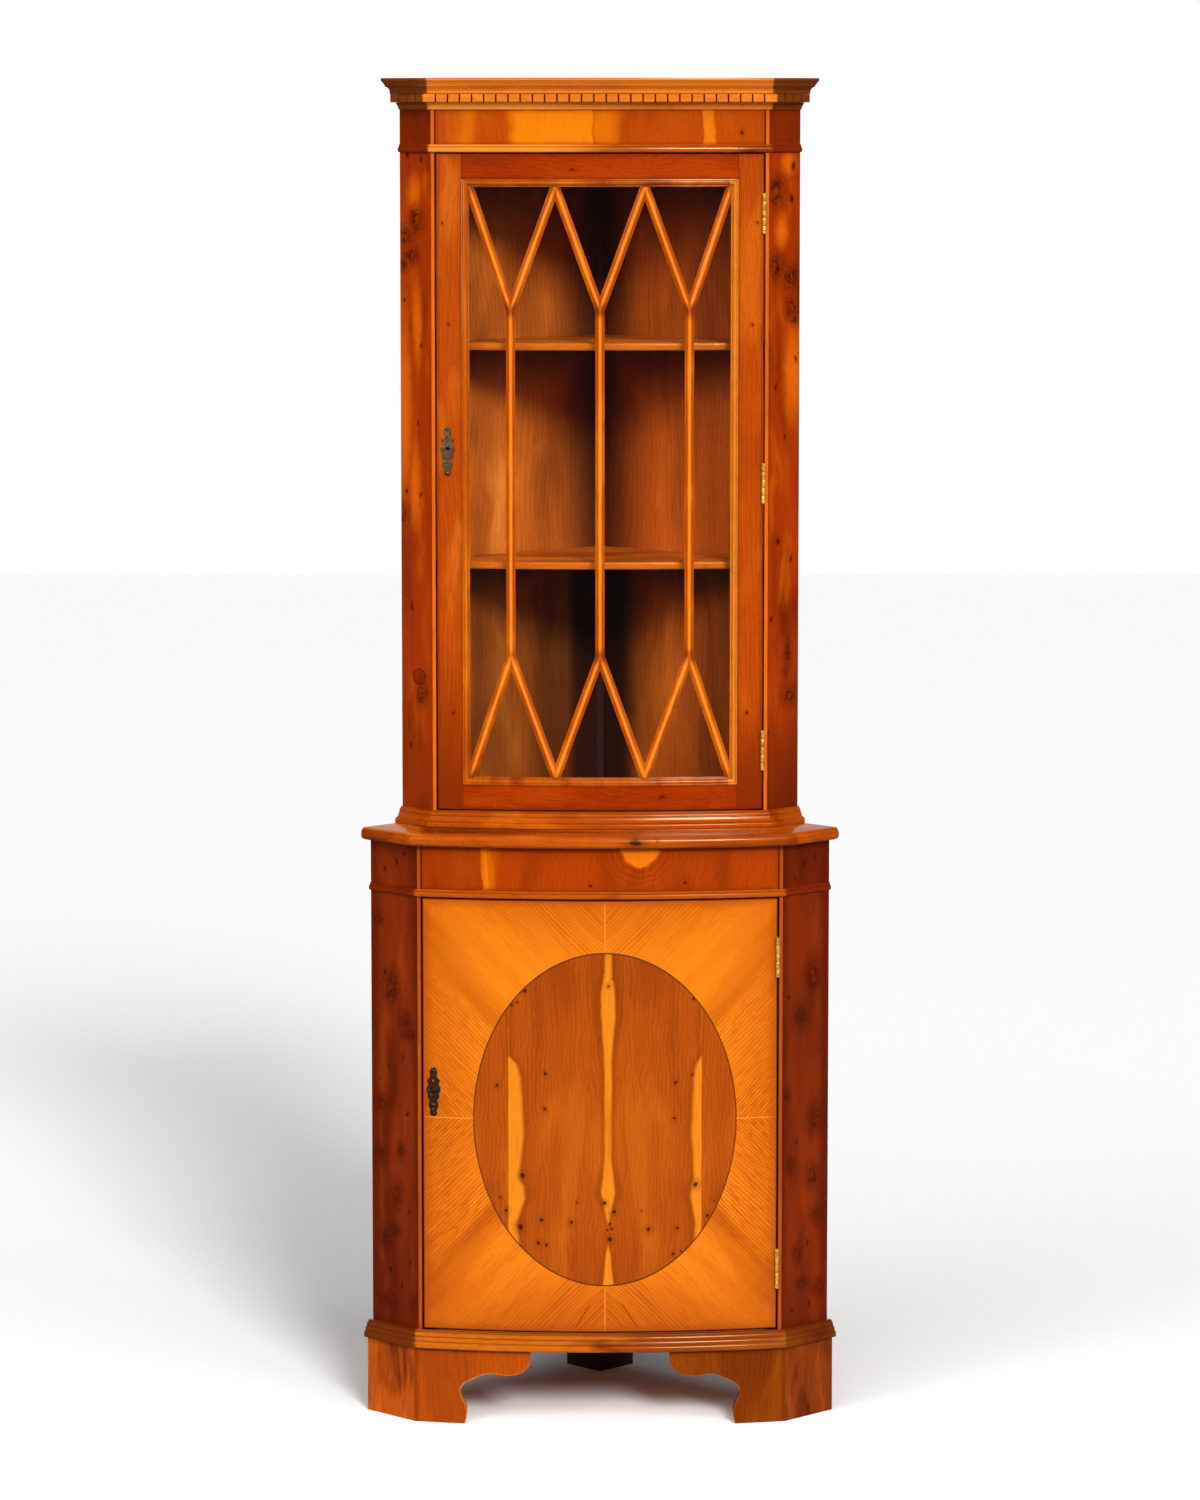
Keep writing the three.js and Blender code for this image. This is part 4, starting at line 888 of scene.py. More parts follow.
# The keyhole's near black tone is painted shade.
line_tone, keyhole_shade_tone = tone(70, 34, 14), tone(12, 6, 4)
base_key_x, base_key_z = -0.236, 0.480
oval_knots = np.array([
    (395, 350, 6), (350, 400, 4), (367, 390, 3), (465, 632, 5), (465, 756, 5), (577, 1075, 4),
    (307, 1062, 4), (330, 1108, 6), (453, 1137, 6), (556, 1145, 7), (380, 1162, 10),
    (443, 1220, 7), (470, 1226, 5), (388, 985, 8), (672, 1078, 6), (705, 1110, 7),
    (690, 1152, 4), (698, 1166, 4), (686, 1170, 4), (690, 1204, 9), (803, 1107, 3),
    (825, 1170, 7), (926, 1167, 5), (940, 1247, 4), (912, 1256, 6), (990, 1016, 8),
    (1055, 1075, 4), (1033, 1125, 6), (980, 638, 4), (920, 664, 6), (915, 790, 5),
    (985, 378, 5), (686, 330, 4), (702, 305, 3), (300, 676, 6),
])
oval_knots = [(7 + (px - 674) * 0.4066, 440 - (py - 792) * 0.4166, r * 0.40, r * 0.44)
              for px, py, r in oval_knots]


def sap_width(place, z, widths):
    """The half width of a sapwood streak against height, from (level, width) pairs in mm."""
    low, high = widths[0][0] / 1000, widths[-1][0] / 1000
    stops = [((at / 1000 - low) / (high - low), width / 25) for at, width in widths]
    ramp = {"stops": stops}
    share = (z - low) / (high - low)
    return place.add("ValToRGB", ramp, {"Fac": share}) * 0.025


def door_veneer():
    """The field: distance across the rays is |x| - |z| from the cross, so its stripes run out to
    the corners in each quarter. The oval: x folded at the leaf seams, so that each leaf mirrors
    its neighbour, with contour lines of slow noise as its figure. The back is plain veneer."""
    place = Shade.start("base_door_veneer")
    x, y, z = place.split()
    off_x, off_z = x - cross_x, z - cross_z
    fold_x, fold_z = abs(off_x), abs(off_z)
    quarter = (off_x.rise(-0.001, 0.001) + off_z.rise(-0.001, 0.001) * 2.0) * 0.004
    across = (fold_x - fold_z) * 0.72 + quarter
    along = (fold_x + fold_z) * 0.70
    ray = place.join(across, y, along)
    slow = ray.vector("MULTIPLY", (1, 1, 0.3)).noise(7, 2, out=1)
    ray = ray.vector("ADD", slow.vector("MULTIPLY", (0.014, 0, 0)))
    broad = ray.vector("MULTIPLY", (1, 1, 0.09)).noise(20, 2, 0.55)
    level = ray.split()[0] * 1350 + ray.vector("MULTIPLY", (1, 1, 0.12)).noise(16, 2) * 30
    lines = level.math("SINE", level).rise(-0.2, 1.0)
    pores = ray.vector("MULTIPLY", (1, 1, 0.02)).noise(420, 2, 0.6)
    field = broad.rise(0.50, 0.34).mix(field_mid, field_light)
    field = (broad.rise(0.52, 0.70) * 0.65).mix(field, field_deep)
    drift = ray.vector("MULTIPLY", (1, 1, 0.3)).noise(9, 2).rise(0.42, 0.62)
    field = (lines * (drift * 0.62 + 0.14)).mix(field, field_deep)
    field = (pores.rise(0.45, 0.66) * (drift * 0.35 + 0.30)).mix(field, field_deep)
    warm = (z.rise(0.30, 0.72) * 0.28).mix(field, field_light)
    away = (fold_x * 3.6).most(fold_z * 2.9)
    field = (away.rise(0.5, 1.0) * 0.5).mix(warm, field_deep)
    field = (z.rise(0.27, 0.15) * 0.4).mix(field, field_deep)
    seam = fold_x.least(fold_z).rise(0.0011, 0.0002)
    field = (seam * 0.5).mix(field, tone(236, 140, 50))
    scars = None
    for way, reach in ((-1, 0.0), (1, 0.004)):
        mark = abs(off_x * way - (0.0115 + (0.188 - (off_z + 0.4385)) * 0.62 + reach))
        inside = off_z.rise(-0.303, -0.298) * off_z.rise(-0.262, -0.270)
        here = mark.rise(0.0016, 0.0004) * inside
        scars = here if scars is None else scars.most(here)

    leaf = (off_x + 2 * leaf_width) / (2 * leaf_width)
    mirrored = abs(leaf.math("FRACT", leaf) - 0.5) * (2 * leaf_width)
    side_shift = off_x.rise(-0.001, 0.001) * 0.003
    burr = place.join(mirrored, side_shift, z)
    slow = burr.vector("MULTIPLY", (1, 1, 0.45)).noise(30, 3, 0.5, 0.3)
    level = mirrored * 1100 + slow * 30
    contour = level.math("SINE", level)
    clouds = burr.vector("MULTIPLY", (1, 1, 0.24)).noise(17, 3, 0.55, 0.4)
    bend = burr.noise(14, 2, out=1).vector("MULTIPLY", (0.003, 0, 0.01))
    hair = burr.vector("ADD", bend).vector("MULTIPLY", (1, 1, 0.05)).noise(420, 2, 0.6)
    oval = clouds.rise(0.50, 0.32).mix(oval_mid, oval_light)
    oval = (clouds.rise(0.50, 0.72) * 0.6).mix(oval, oval_deep)
    oval = (contour.rise(-0.4, 1.0) * (clouds.rise(0.3, 0.6) * 0.26 + 0.16)).mix(oval, oval_deep)
    oval = (hair.rise(0.47, 0.68) * 0.18).mix(oval, oval_deep)
    low_dark = z.rise(0.40, 0.22) * 0.35
    oval = (low_dark * clouds.rise(0.3, 0.6)).mix(oval, oval_deep)

    ragged = (burr.vector("MULTIPLY", (1, 1, 0.5)).noise(60, 3) - 0.5) * 0.004
    middle_width = sap_width(place, z, [
        (200, 8), (225, 5), (246, 3.6), (262, 0.0), (284, 0), (296, 2.0), (318, 6), (334, 9.6),
        (352, 8), (384, 4.8), (430, 4.6), (480, 5.2), (524, 4.8), (556, 7.5), (588, 10.4),
        (624, 9.5), (650, 5.4), (680, 4.8)])
    side_width = sap_width(place, z, [
        (240, 0), (258, 16), (276, 14), (288, 11), (300, 15), (326, 24), (345, 22), (356, 15),
        (380, 18), (420, 22), (470, 20), (500, 18), (520, 12), (528, 4), (532, 0), (680, 0)])
    core = abs(off_x + ragged * 0.5)
    beside_seam = abs(off_x + ragged * 0.5 - 0.0045)
    outer_leaf = core.rise(leaf_width * 0.75, leaf_width * 0.76)
    to_seam = leaf_width - core
    side_force = off_x.rise(0.001, -0.001) * 0.34 + 0.64
    side_gap = side_width * side_force + ragged - to_seam
    side_mask = side_gap.rise(-0.0035, 0.0040) * to_seam.rise(-0.0001, 0.0002) * outer_leaf
    middle_mask = (middle_width + ragged - beside_seam).rise(-0.0022, 0.0026)
    glow = (middle_width * 2.2 + 0.004 - beside_seam).rise(0.0, 0.010)
    near_side = (side_gap + 0.012).rise(0.0, 0.012) * outer_leaf * to_seam.rise(-0.0001, 0.0002)
    oval = (glow.most(near_side) * 0.55).mix(oval, oval_deep)
    sap = middle_mask.most(side_mask)
    faint = z.rise(0.50, 0.44) * z.rise(0.34, 0.40) * core.rise(0.04, 0.03) * 0.2
    sap_wood = (hair.rise(0.45, 0.7) * 0.25 + faint).mix(oval_pale, field_deep)
    oval = sap.mix(oval, sap_wood)
    joint = to_seam.math("ABSOLUTE", to_seam).least(core + 0.0002).rise(0.0006, 0.0001)
    oval = (joint * 0.35).mix(oval, oval_deep)
    reach = nearest_knot(place, oval_knots)
    oval = (reach.rise(4.2, 1.0) * 0.40).mix(oval, oval_deep)
    oval = (reach.rise(1.3, 0.6) * 0.9).mix(oval, ember)

    radial = place.join(off_x / oval_half_x, 0.0, off_z / oval_half_z)
    radial = radial.vector("LENGTH", (0, 0, 0), 1)
    line = abs(radial - 1.0).rise(0.0062, 0.0030)
    colour = (scars * 0.8).mix(field, tone(120, 28, 2))
    colour = radial.rise(1.0015, 0.9985).mix(colour, oval)
    colour = (line * 0.92).mix(colour, line_tone)
    reach = place.vector("MULTIPLY", (1, 1, 0)).vector(
        "DISTANCE", (0, base_stage[0] + shift, 0), 1)
    upright = place.vector("MULTIPLY", (1, 1, 0.1)).noise(18, 3, 0.55)
    plain = upright.rise(0.35, 0.65).mix(field_light, field_deep)
    plain = (place.vector("MULTIPLY", (1, 1, 0.02)).noise(420, 2, 0.6).rise(0.45, 0.66) * 0.5).mix(
        plain, field_deep)
    colour = reach.rise(bow_radius - 0.012, bow_radius - 0.014).mix(colour, plain)
    rim = rectangle_rim(-base_door_half, base_door_half, base_door_low, base_door_high)(place)
    colour = ((rim + (place.noise(30, 2) - 0.5) * 0.012).rise(0.016, 0.0) * 0.6).mix(
        colour, field_deep)
    colour = rim.rise(0.0017, 0.0007).mix(colour, field_seam)
    # Painted shade: the wood round the key's bore, seen through the escutcheon's keyhole, is painted
    # near black.
    keyhole_shade_reach = place.vector("DISTANCE", (base_key_x, -0.17835, base_key_z - 0.002), 1)
    colour = keyhole_shade_reach.rise(0.0052, 0.0046).mix(colour, keyhole_shade_tone)
    roughness = pores.rise(0.4, 0.7) * 0.07 + (clouds.rise(0.3, 0.7) * 0.04) + 0.17
    grain = pores * 0.5 + (place.noise(210, 2) * 0.5) - (line * 1.5)
    return place.finish(
        colour, roughness, grain, 0.00006,
        **lacquer,
    )


def block_mesh(low, high):
    """A plain block's corners and faces, used only as the waste that a mortise is cut from."""
    x, y, z = np.meshgrid(*[[a, b] for a, b in zip(low, high)], indexing="ij")
    points = np.stack([x, y, z], -1).reshape(-1, 3)
    return points, [np.array([(0, 1, 3, 2), (4, 6, 7, 5), (0, 4, 5, 1), (2, 3, 7, 6),
                              (0, 2, 6, 4), (1, 5, 7, 3)])]


def rod_mesh(radius, start, end, sides=32):
    """A round bar between two points: a circle square to its line, carried along it."""
    start, end = np.asarray(start, float), np.asarray(end, float)
    way = (end - start) / np.linalg.norm(end - start)
    first = np.cross(way, (0.0, 0.0, 1.0) if abs(way[2]) < 0.9 else (1.0, 0.0, 0.0))
    first /= np.linalg.norm(first)
    second = np.cross(way, first)
    angle = np.linspace(0, 2 * math.pi, sides, endpoint=False)[:, None]
    ring = radius * (np.cos(angle) * first + np.sin(angle) * second)
    return sweep(np.stack([start + ring, end + ring], 1))


def cut_away(piece, *wastes):
    """Cuts closed wastes out of a piece for good, and marks its sharp edges again."""
    for points, blocks in wastes:
        points, faces, _ = merged(np.asarray(points, float), blocks)
        if volume_of(points, faces) < 0:
            faces = [face[::-1] for face in faces]
        mesh = bpy.data.meshes.new("waste")
        mesh.from_pydata(points.tolist(), [], faces)
        waste = bpy.data.objects.new("waste", mesh)
        scene.collection.objects.link(waste)
        saw = piece.modifiers.new("saw", "BOOLEAN")
        saw.operation = "DIFFERENCE"
        saw.solver = "EXACT"
        saw.object = waste
        bpy.context.view_layer.update()
        shape = piece.evaluated_get(bpy.context.evaluated_depsgraph_get())
        cut = bpy.data.meshes.new_from_object(shape)
        piece.modifiers.remove(saw)
        old, piece.data = piece.data, cut
        cut.name = piece.name
        cut.set_sharp_from_angle(angle=math.radians(28))
        bpy.data.meshes.remove(old)
        bpy.data.objects.remove(waste)
        bpy.data.meshes.remove(mesh)


def outward(x, stage):
    """The direction square out of the bow at x."""
    slope = x / bow_radius
    return np.array([slope, -math.sqrt(1 - slope ** 2), 0])


def lock_waste(stage, door_half, key_x, key_z):
    """The pocket for the lock case, open at the back and the free edge, and the key's bore."""
    front_y = float(bow_y(stage, door_half, 0)) + 0.005
    pocket = block_mesh((-door_half - 0.005, front_y - seat, key_z - 0.0133),
                        (-door_half + 0.0303, front_y + 0.030, key_z + 0.0263))
    face = np.array([key_x, float(bow_y(stage, key_x, 0)), key_z])
    out = outward(key_x, stage)
    return pocket, rod_mesh(0.0029, face - out * 0.018, face + out * 0.005)


points, blocks = shell(
    bow_sheet(base_stage, -base_door_half, base_door_half, base_door_low, base_door_high, 0,
              72, 60),
    bow_sheet(base_stage, -base_door_half, base_door_half, base_door_low, base_door_high,
              -door_thick, 72, 60),
)
base_door = put("base_door_board", points, blocks, door_veneer(), "base_door",
                "yew_crossbanded", ["base_door_panel"])
cut_away(base_door, *lock_waste(base_stage, base_door_half, base_key_x, base_key_z))
ease = base_door.modifiers.new("eased_edge", "BEVEL")
ease.width = 0.0005
ease.segments = 2
ease.limit_method = "ANGLE"
ease.angle_limit = math.radians(40)


# ---------------------------------------------------------------------------------------------
# Escutcheons: cast brass plates, blackened with age, with a pierced triangle, two pierced rings
# and an oval field round the keyhole, held by two round-headed pins. The upper one is paler.
# ---------------------------------------------------------------------------------------------
plate_half_width, plate_height = 0.010, 0.070
plate_foot = 0.038
plate_side = np.array([
    (0.0, 0.0), (0.2, 0.004), (0.4, 0.025), (0.5, 0.07), (0.44, 0.115), (0.52, 0.15),
    (0.66, 0.19), (0.72, 0.235), (0.60, 0.285), (0.52, 0.32), (0.60, 0.35), (0.82, 0.385),
    (0.84, 0.42), (0.72, 0.455), (0.84, 0.48), (0.98, 0.515), (1.0, 0.555), (0.92, 0.60),
    (0.78, 0.63), (0.72, 0.665), (0.86, 0.70), (0.94, 0.725), (0.74, 0.76), (0.54, 0.80),
    (0.46, 0.845), (0.54, 0.885), (0.46, 0.935), (0.26, 0.98), (0.0, 1.0),
])
hole_middles = ((0.145, 0.19, 0.022), (0.245, 0.27, 0.020), (0.735, 0.26, 0.040))


def escutcheon_points(stage, key_x, key_z, flat):
    """Lays drawing points (across, up, out) on the bow at the keyhole."""
    point = np.array([key_x, float(bow_y(stage, key_x, 0)), key_z])
    out = outward(key_x, stage)
    side = np.array([-out[1], out[0], 0])
    return point + flat[..., :1] * side + flat[..., 1:2] * (0, 0, 1) + flat[..., 2:] * out


def make_plate(name, stage, key_x, key_z, material, body, replaced):
    """A flat plate whose outline is drawn as half and mirrored, domed a little in the middle,
    with its holes and the keyhole cut through and two domed pin heads standing on it."""
    side = even_line(plate_side, 88) * (plate_half_width, plate_height) - (0, plate_foot)
    loop = np.concatenate([side, side[-2:0:-1] * (-1, 1)])
    levels = [(0.0, 0.0003), (0.0, 0.0013), (0.00035, 0.0017), (0.0009, 0.0018)]
    centre = np.array([0, plate_height / 2 - plate_foot])
    normal = np.roll(loop, -1, 0) - np.roll(loop, 1, 0)
    normal = np.stack([normal[:, 1], -normal[:, 0]], 1)
    normal /= np.linalg.norm(normal, axis=1)[:, None]
    rings = [np.column_stack([loop - normal * inset, np.full(len(loop), out)])
             for inset, out in levels]
    rings = np.array(rings)
    count = len(loop)
    index = np.arange(len(levels) * count).reshape(len(levels), count)
    after = np.roll(index, -1, 1)
    quads = np.stack([index[:-1], after[:-1], after[1:], index[1:]], -1).reshape(-1, 4)
    flat = rings.reshape(-1, 3)
    blocks = [quads, index[0, ::-1][None], index[-1][None]]
    points = escutcheon_points(stage, key_x, key_z, flat)
    plate = put(name, points, blocks, material, body, "aged_brass", replaced)
    wastes = []
    here = lambda across, up, out: escutcheon_points(
        stage, key_x, key_z, np.array([across, up, out]))
    for up, across, tall in hole_middles:
        z = up * plate_height - plate_foot
        half_x, half_z = across * plate_half_width, tall * plate_height
        if up > 0.5:
            shape = np.array([(-half_x, -half_z * 0.8), (half_x, -half_z * 0.8), (0, half_z * 1.2)])
        else:
            angle = np.linspace(0, 2 * math.pi, 24, endpoint=False)
            shape = np.stack([np.cos(angle) * half_x, np.sin(angle) * half_z], 1)
        lines = np.array([[escutcheon_points(stage, key_x, key_z, np.array([px, pz + z, out]))
                           for out in (-0.002, 0.006)] for px, pz in shape])
        wastes.append(sweep(lines))
    angle = np.linspace(-0.36 * math.pi, 1.36 * math.pi, 24)
    round_part = np.stack([np.cos(angle), np.sin(angle)], 1) * 0.0027
    slot = np.array([(-0.0012, -0.0075), (0.0012, -0.0075)])
    shape = np.concatenate([slot[::1], round_part])
    wastes.append(sweep(np.array([[here(px, pz, out) for out in (-0.002, 0.006)]
                                  for px, pz in shape])))
    cut_away(plate, *wastes)
    heads = []
    for i, up in enumerate((0.055, 0.935)):
        turn = np.linspace(0, 2 * math.pi, 24, endpoint=False)
        lift = np.linspace(0, math.pi / 2, 8)
        ring = np.array([np.column_stack([
            np.cos(turn) * math.cos(a) * 0.0029,
            np.sin(turn) * math.cos(a) * 0.0029 + up * plate_height - plate_foot,
            np.full(24, 0.0014 + 0.0022 * math.sin(a))]) for a in lift])
        lines = escutcheon_points(stage, key_x, key_z, ring.transpose(1, 0, 2))
        heads.append(put(f"{name}_pin_{i + 1}", *sweep(lines), material, body, "aged_brass"))
    return plate


def aged_brass(name, base_tone, bright_tone, dark_tone):
    """Cast brass with age: cloudy dark patina in patches over the brass, and small specks of
    brighter bare metal.
    """
    place = Shade.start(name)
    patina = place.noise(420, 4, 0.62)
    spots = place.noise(1500, 2, 0.5)
    colour = patina.rise(0.42, 0.62).mix(base_tone, dark_tone)
    colour = (spots.rise(0.55, 0.7) * 0.6).mix(colour, bright_tone)
    roughness = patina.rise(0.3, 0.7) * 0.25 + 0.30
    metal = patina.rise(0.75, 0.45) * 0.3 + 0.65
    return place.finish(
        colour, roughness, patina + spots * 0.4, 0.0002,
        Metallic=metal, Specular_IOR_Level=0.5,
    )


dark_cast = aged_brass("blackened_brass", tone(96, 70, 44), tone(150, 120, 84), tone(40, 28, 18))
make_plate("base_escutcheon_plate", base_stage, base_key_x, base_key_z, dark_cast, "base_door",
           ["base_escutcheon"])


# ---------------------------------------------------------------------------------------------
# The key: cast brass, standing in the base door's lock with its pierced bow edge on.
# ---------------------------------------------------------------------------------------------
def make_key():
    """The bow is a round bar bent to an oval ring in the plane of shank and height; the shank is
    turned with a collar, its radius a function of its length; the bit is a small flat tongue."""
    point = np.array([base_key_x, float(bow_y(base_stage, base_key_x, 0)), base_key_z])
    out = outward(base_key_x, base_stage)
    side = np.array([-out[1], out[0], 0])
    up = np.array([0.0, 0.0, 1.0])

    turn = np.linspace(0, 2 * math.pi, 48, endpoint=False)
    tube = np.linspace(0, 2 * math.pi, 14, endpoint=False)
    ring_out, ring_up, ring_side = np.cos(turn), np.sin(turn), np.zeros(48)
    half_out, half_up, bar = 0.0076, 0.0096, 0.00138
    middle = 0.014 + 0.0091 - 0.0015
    pinch = 1 - 0.10 * np.exp(-np.square((turn - math.pi) / 0.5))
    lines = []
    for a in tube:
        grow = math.cos(a) * bar
        away = (half_out * pinch + grow) * ring_out + middle
        rise = (half_up * pinch + grow) * ring_up
        lines.append(point + np.outer(away, out) + np.outer(rise, up)
                     + math.sin(a) * bar * 0.94 * side)
    lines = np.array(lines)
    index = np.arange(lines.shape[0] * 48).reshape(lines.shape[0], 48)
    next_tube, next_turn = np.roll(index, -1, 0), np.roll(index, -1, 1)
    quads = np.stack([index, next_turn, np.roll(next_turn, -1, 0), next_tube], -1).reshape(-1, 4)
    put("base_key_bow", lines.reshape(-1, 3), [quads], dark_cast, "base_key", "aged_brass",
        ["base_key"])

    reach = np.array([-0.0112, -0.0108, -0.0108, 0.0028, 0.0030, 0.0036, 0.0046, 0.0056, 0.0060,
                      0.0064, 0.0074, 0.0084, 0.0090, 0.0110, 0.0130, 0.0146])
    girth = np.array([0.0012, 0.0018, 0.0020, 0.0020, 0.0026, 0.0030, 0.0031, 0.0028, 0.0023,
                      0.0026, 0.0028, 0.0024, 0.0020, 0.0019, 0.0022, 0.0026])
    angle = np.linspace(0, 2 * math.pi, 24, endpoint=False)
    circle = np.outer(np.cos(angle), side) + np.outer(np.sin(angle), up)
    lines = point + reach[None, :, None] * out + girth[None, :, None] * circle[:, None, :]
    put("base_key_shank", *sweep(lines), dark_cast, "base_key", "aged_brass")

    bit = [point + o * out + s * side + u * up for o in (-0.0110, -0.0075)
           for s in (-0.001, 0.001) for u in (-0.0052, -0.0005)]
    faces = [np.array([(0, 1, 3, 2), (4, 6, 7, 5), (0, 4, 5, 1), (2, 3, 7, 6),
                       (0, 2, 6, 4), (1, 5, 7, 3)])]
    put("base_key_bit", np.array(bit), faces, dark_cast, "base_key", "aged_brass", ease=0.0002)


make_key()


# ---------------------------------------------------------------------------------------------
# Locks and hinges: steel lock cases let into the backs of the doors, brass bolts, and five
# knuckle brass butts, their round pins standing in front of the gap beside each door.
# ---------------------------------------------------------------------------------------------
def drawn_metal(name, bright, dull, metallic, shine):
    """Drawn or rolled metal: fine lines along its length and cloudy tarnish over them."""
    place = Shade.start(name)
    tarnish = place.noise(260, 4, 0.6)
    lines = place.vector("MULTIPLY", (1, 1, 0.08)).noise(2400, 2)
    colour = tarnish.rise(0.42, 0.66).mix(bright, dull)
    colour = (lines.rise(0.5, 0.7) * 0.3).mix(colour, dull)
    return place.finish(
        colour, tarnish.rise(0.3, 0.7) * 0.2 + shine, lines, 0.00004, Metallic=metallic)


hinge_brass = drawn_metal("hinge_brass", tone(240, 184, 78), tone(160, 103, 34), 0.55, 0.30)
case_steel = drawn_metal("lock_steel", tone(168, 164, 156), tone(104, 98, 90), 1.0, 0.38)
dress(case_steel, "base_lock_case", "upper_lock_case")
dress(hinge_brass, "base_lock_bolt", "upper_lock_bolt")

hinge_length = 0.057
pin_stand = 0.0033
knuckle_radius = 0.00275
base_hinge_levels = (0.2205, 0.6693)
upper_hinge_levels = (0.9559, 1.33555, 1.7153)


def make_hinge(name, stage, opening, door_half, level, bodies, cad_names):
    """Two leaves and their knuckles. A knuckle is turned: its radius against height has a small
    round at both ends; the pin's domed heads close the row."""
    pin = np.array([opening - 0.00075, float(bow_y(stage, door_half, 0)) - pin_stand, 0])
    pitch = hinge_length / 5
    low = level - hinge_length / 2
    angle = np.linspace(0, 2 * math.pi, 20, endpoint=False)
    circle = np.stack([np.cos(angle), np.sin(angle), np.zeros(20)], 1)
    for leaf, (sign, body, cad) in enumerate(zip((1, -1), bodies, cad_names)):
        near, far = 0.00015 * sign, 0.00135 * sign
        low_x, high_x = sorted((pin[0] + near, pin[0] + far))
        parts = [block_mesh((low_x, pin[1] + knuckle_radius * 0.3, low),
                            (high_x, pin[1] + 0.019, low + hinge_length))]
        for i in range(leaf, 5, 2):
            bottom, top = low + i * pitch + 0.00018, low + (i + 1) * pitch - 0.00018
            rounding = 0.0005
            heights = np.array([bottom, bottom, bottom + rounding * 0.3, bottom + rounding,
                                top - rounding, top - rounding * 0.3, top, top])
            reach = np.array([0.0012, 0.0023, 0.0026, 0.00275, 0.00275, 0.0026, 0.0023, 0.0012])
            if leaf == 0 and i in (0, 4):
                end = -1 if i == 0 else 1
                dome = np.array([0.00275, 0.0022, 0.0012, 0.0002])
                rise = np.array([0.0, 0.0006, 0.00085, 0.0009])
                if end > 0:
                    heights = np.concatenate([heights[:5], top - rounding + rise])
                    reach = np.concatenate([reach[:5], dome])
                else:
                    heights = np.concatenate([(bottom + rounding - rise)[::-1], heights[4:]])
                    reach = np.concatenate([dome[::-1], reach[4:]])
            rings = circle[:, None, :] * reach[None, :, None] + pin
            rings[..., 2] = heights[None, :]
            parts.append(sweep_closed_rings(rings))
        points = np.concatenate([part[0] for part in parts])
        blocks, start = [], 0
        for part_points, part_blocks in parts:
            blocks += [np.asarray(block) + start for block in part_blocks]
            start += len(part_points)
        put(f"{name}_{('fixed', 'door')[leaf]}", points, blocks, hinge_brass, body, "brass", [cad])


def sweep_closed_rings(rings):
    """A turned shape: rings holds, for each angle, the points from one end to the other."""
    around, along = rings.shape[:2]
    index = np.arange(around * along).reshape(around, along)
    after = np.roll(index, -1, axis=0)
    quads = np.stack([index[:, :-1], after[:, :-1], after[:, 1:], index[:, 1:]], -1)
    return rings.reshape(-1, 3), [quads.reshape(-1, 4), index[::-1, 0][None], index[:, -1][None]]


upper_opening = upper_half_front - strip_width
upper_door_half = upper_opening - 0.0015
for i, level in enumerate(base_hinge_levels):
    cad = f"base_hinge_{i + 1}_"
    make_hinge(f"base_butt_{i + 1}", base_stage, base_opening, base_door_half, level,
               ("root", "base_door"), (cad + "fixed_leaf", cad + "door_leaf"))
for i, level in enumerate(upper_hinge_levels):
    cad = f"upper_hinge_{i + 1}_"
    make_hinge(f"upper_butt_{i + 1}", upper_stage, upper_opening, upper_door_half, level,
               ("root", "upper_door"), (cad + "fixed_leaf", cad + "door_leaf"))


# ---------------------------------------------------------------------------------------------
# Upper carcass: canted stiles in brown burr yew with amber streaks, back panels veneered inside
# with upright grain, a batten over their joint in the corner, and boards at both ends.
# ---------------------------------------------------------------------------------------------
cant_tones = (tone(92, 23, 0), tone(147, 45, 1), tone(187, 73, 3), tone(211, 94, 6))
upper_knots = {
    "left": [(-276, 1683, 9, 12), (-267, 1655, 8, 9), (-279, 1642, 7, 7), (-259, 1706, 8, 14),
             (-281, 1290, 7, 12), (-254, 1034, 7, 15)],
    "right": [(247, 1748, 9, 18), (247, 1640, 8, 16), (270, 1625, 8, 14), (271, 1582, 8, 12),
              (275, 1566, 5, 8), (266, 1092, 4, 22), (264, 1066, 4, 9), (270, 1032, 9, 12)],
}
upper_flecks = {
    "left": [(-271, 1798, 1.6, 4), (-252, 1790, 1.6, 4), (-277, 1592, 1.4, 2.4),
             (-252, 1530, 1.4, 3), (-275, 1322, 1.5, 3), (-254, 1318, 1.5, 3),
             (-267, 1158, 2.0, 5), (-270, 960, 1.6, 3), (-258, 1420, 1.4, 3)],
    "right": [(273, 1782, 2.4, 6), (270, 1735, 2.0, 5), (277, 1510, 1.6, 3.4),
              (248, 1470, 1.6, 4), (252, 1252, 1.8, 4.5), (271, 1226, 1.6, 4),
              (243, 1142, 1.6, 4), (238, 980, 1.6, 4), (262, 1400, 1.4, 3)],
}
upper_glows = {
    "left": [(-278, 1450, 9, 120), (-262, 1330, 7, 50), (-258, 1560, 6, 50), (-262, 1745, 8, 22)],
    "right": [(272, 1490, 11, 60), (266, 1785, 10, 14), (256, 1690, 8, 20)],
}
upper_discs = {"left": [(-257, 1059, 9.5, 11)], "right": []}
for word, side in (("left", -1), ("right", 1)):
    stile_wood = burr_stile(
        "upper_" + word + "_stile_burr", cant_tones, 21.7 + side * 4.1, upper_knots[word],
        upper_flecks[word], upper_half_front, (tone(200, 92, 16), tone(150, 58, 8)), 1.812, 0.9,
        glows=upper_glows[word], discs=upper_discs[word], low_dark=0.55 + side * 0.25)
    dress(stile_wood, "upper_" + word + "_stile")

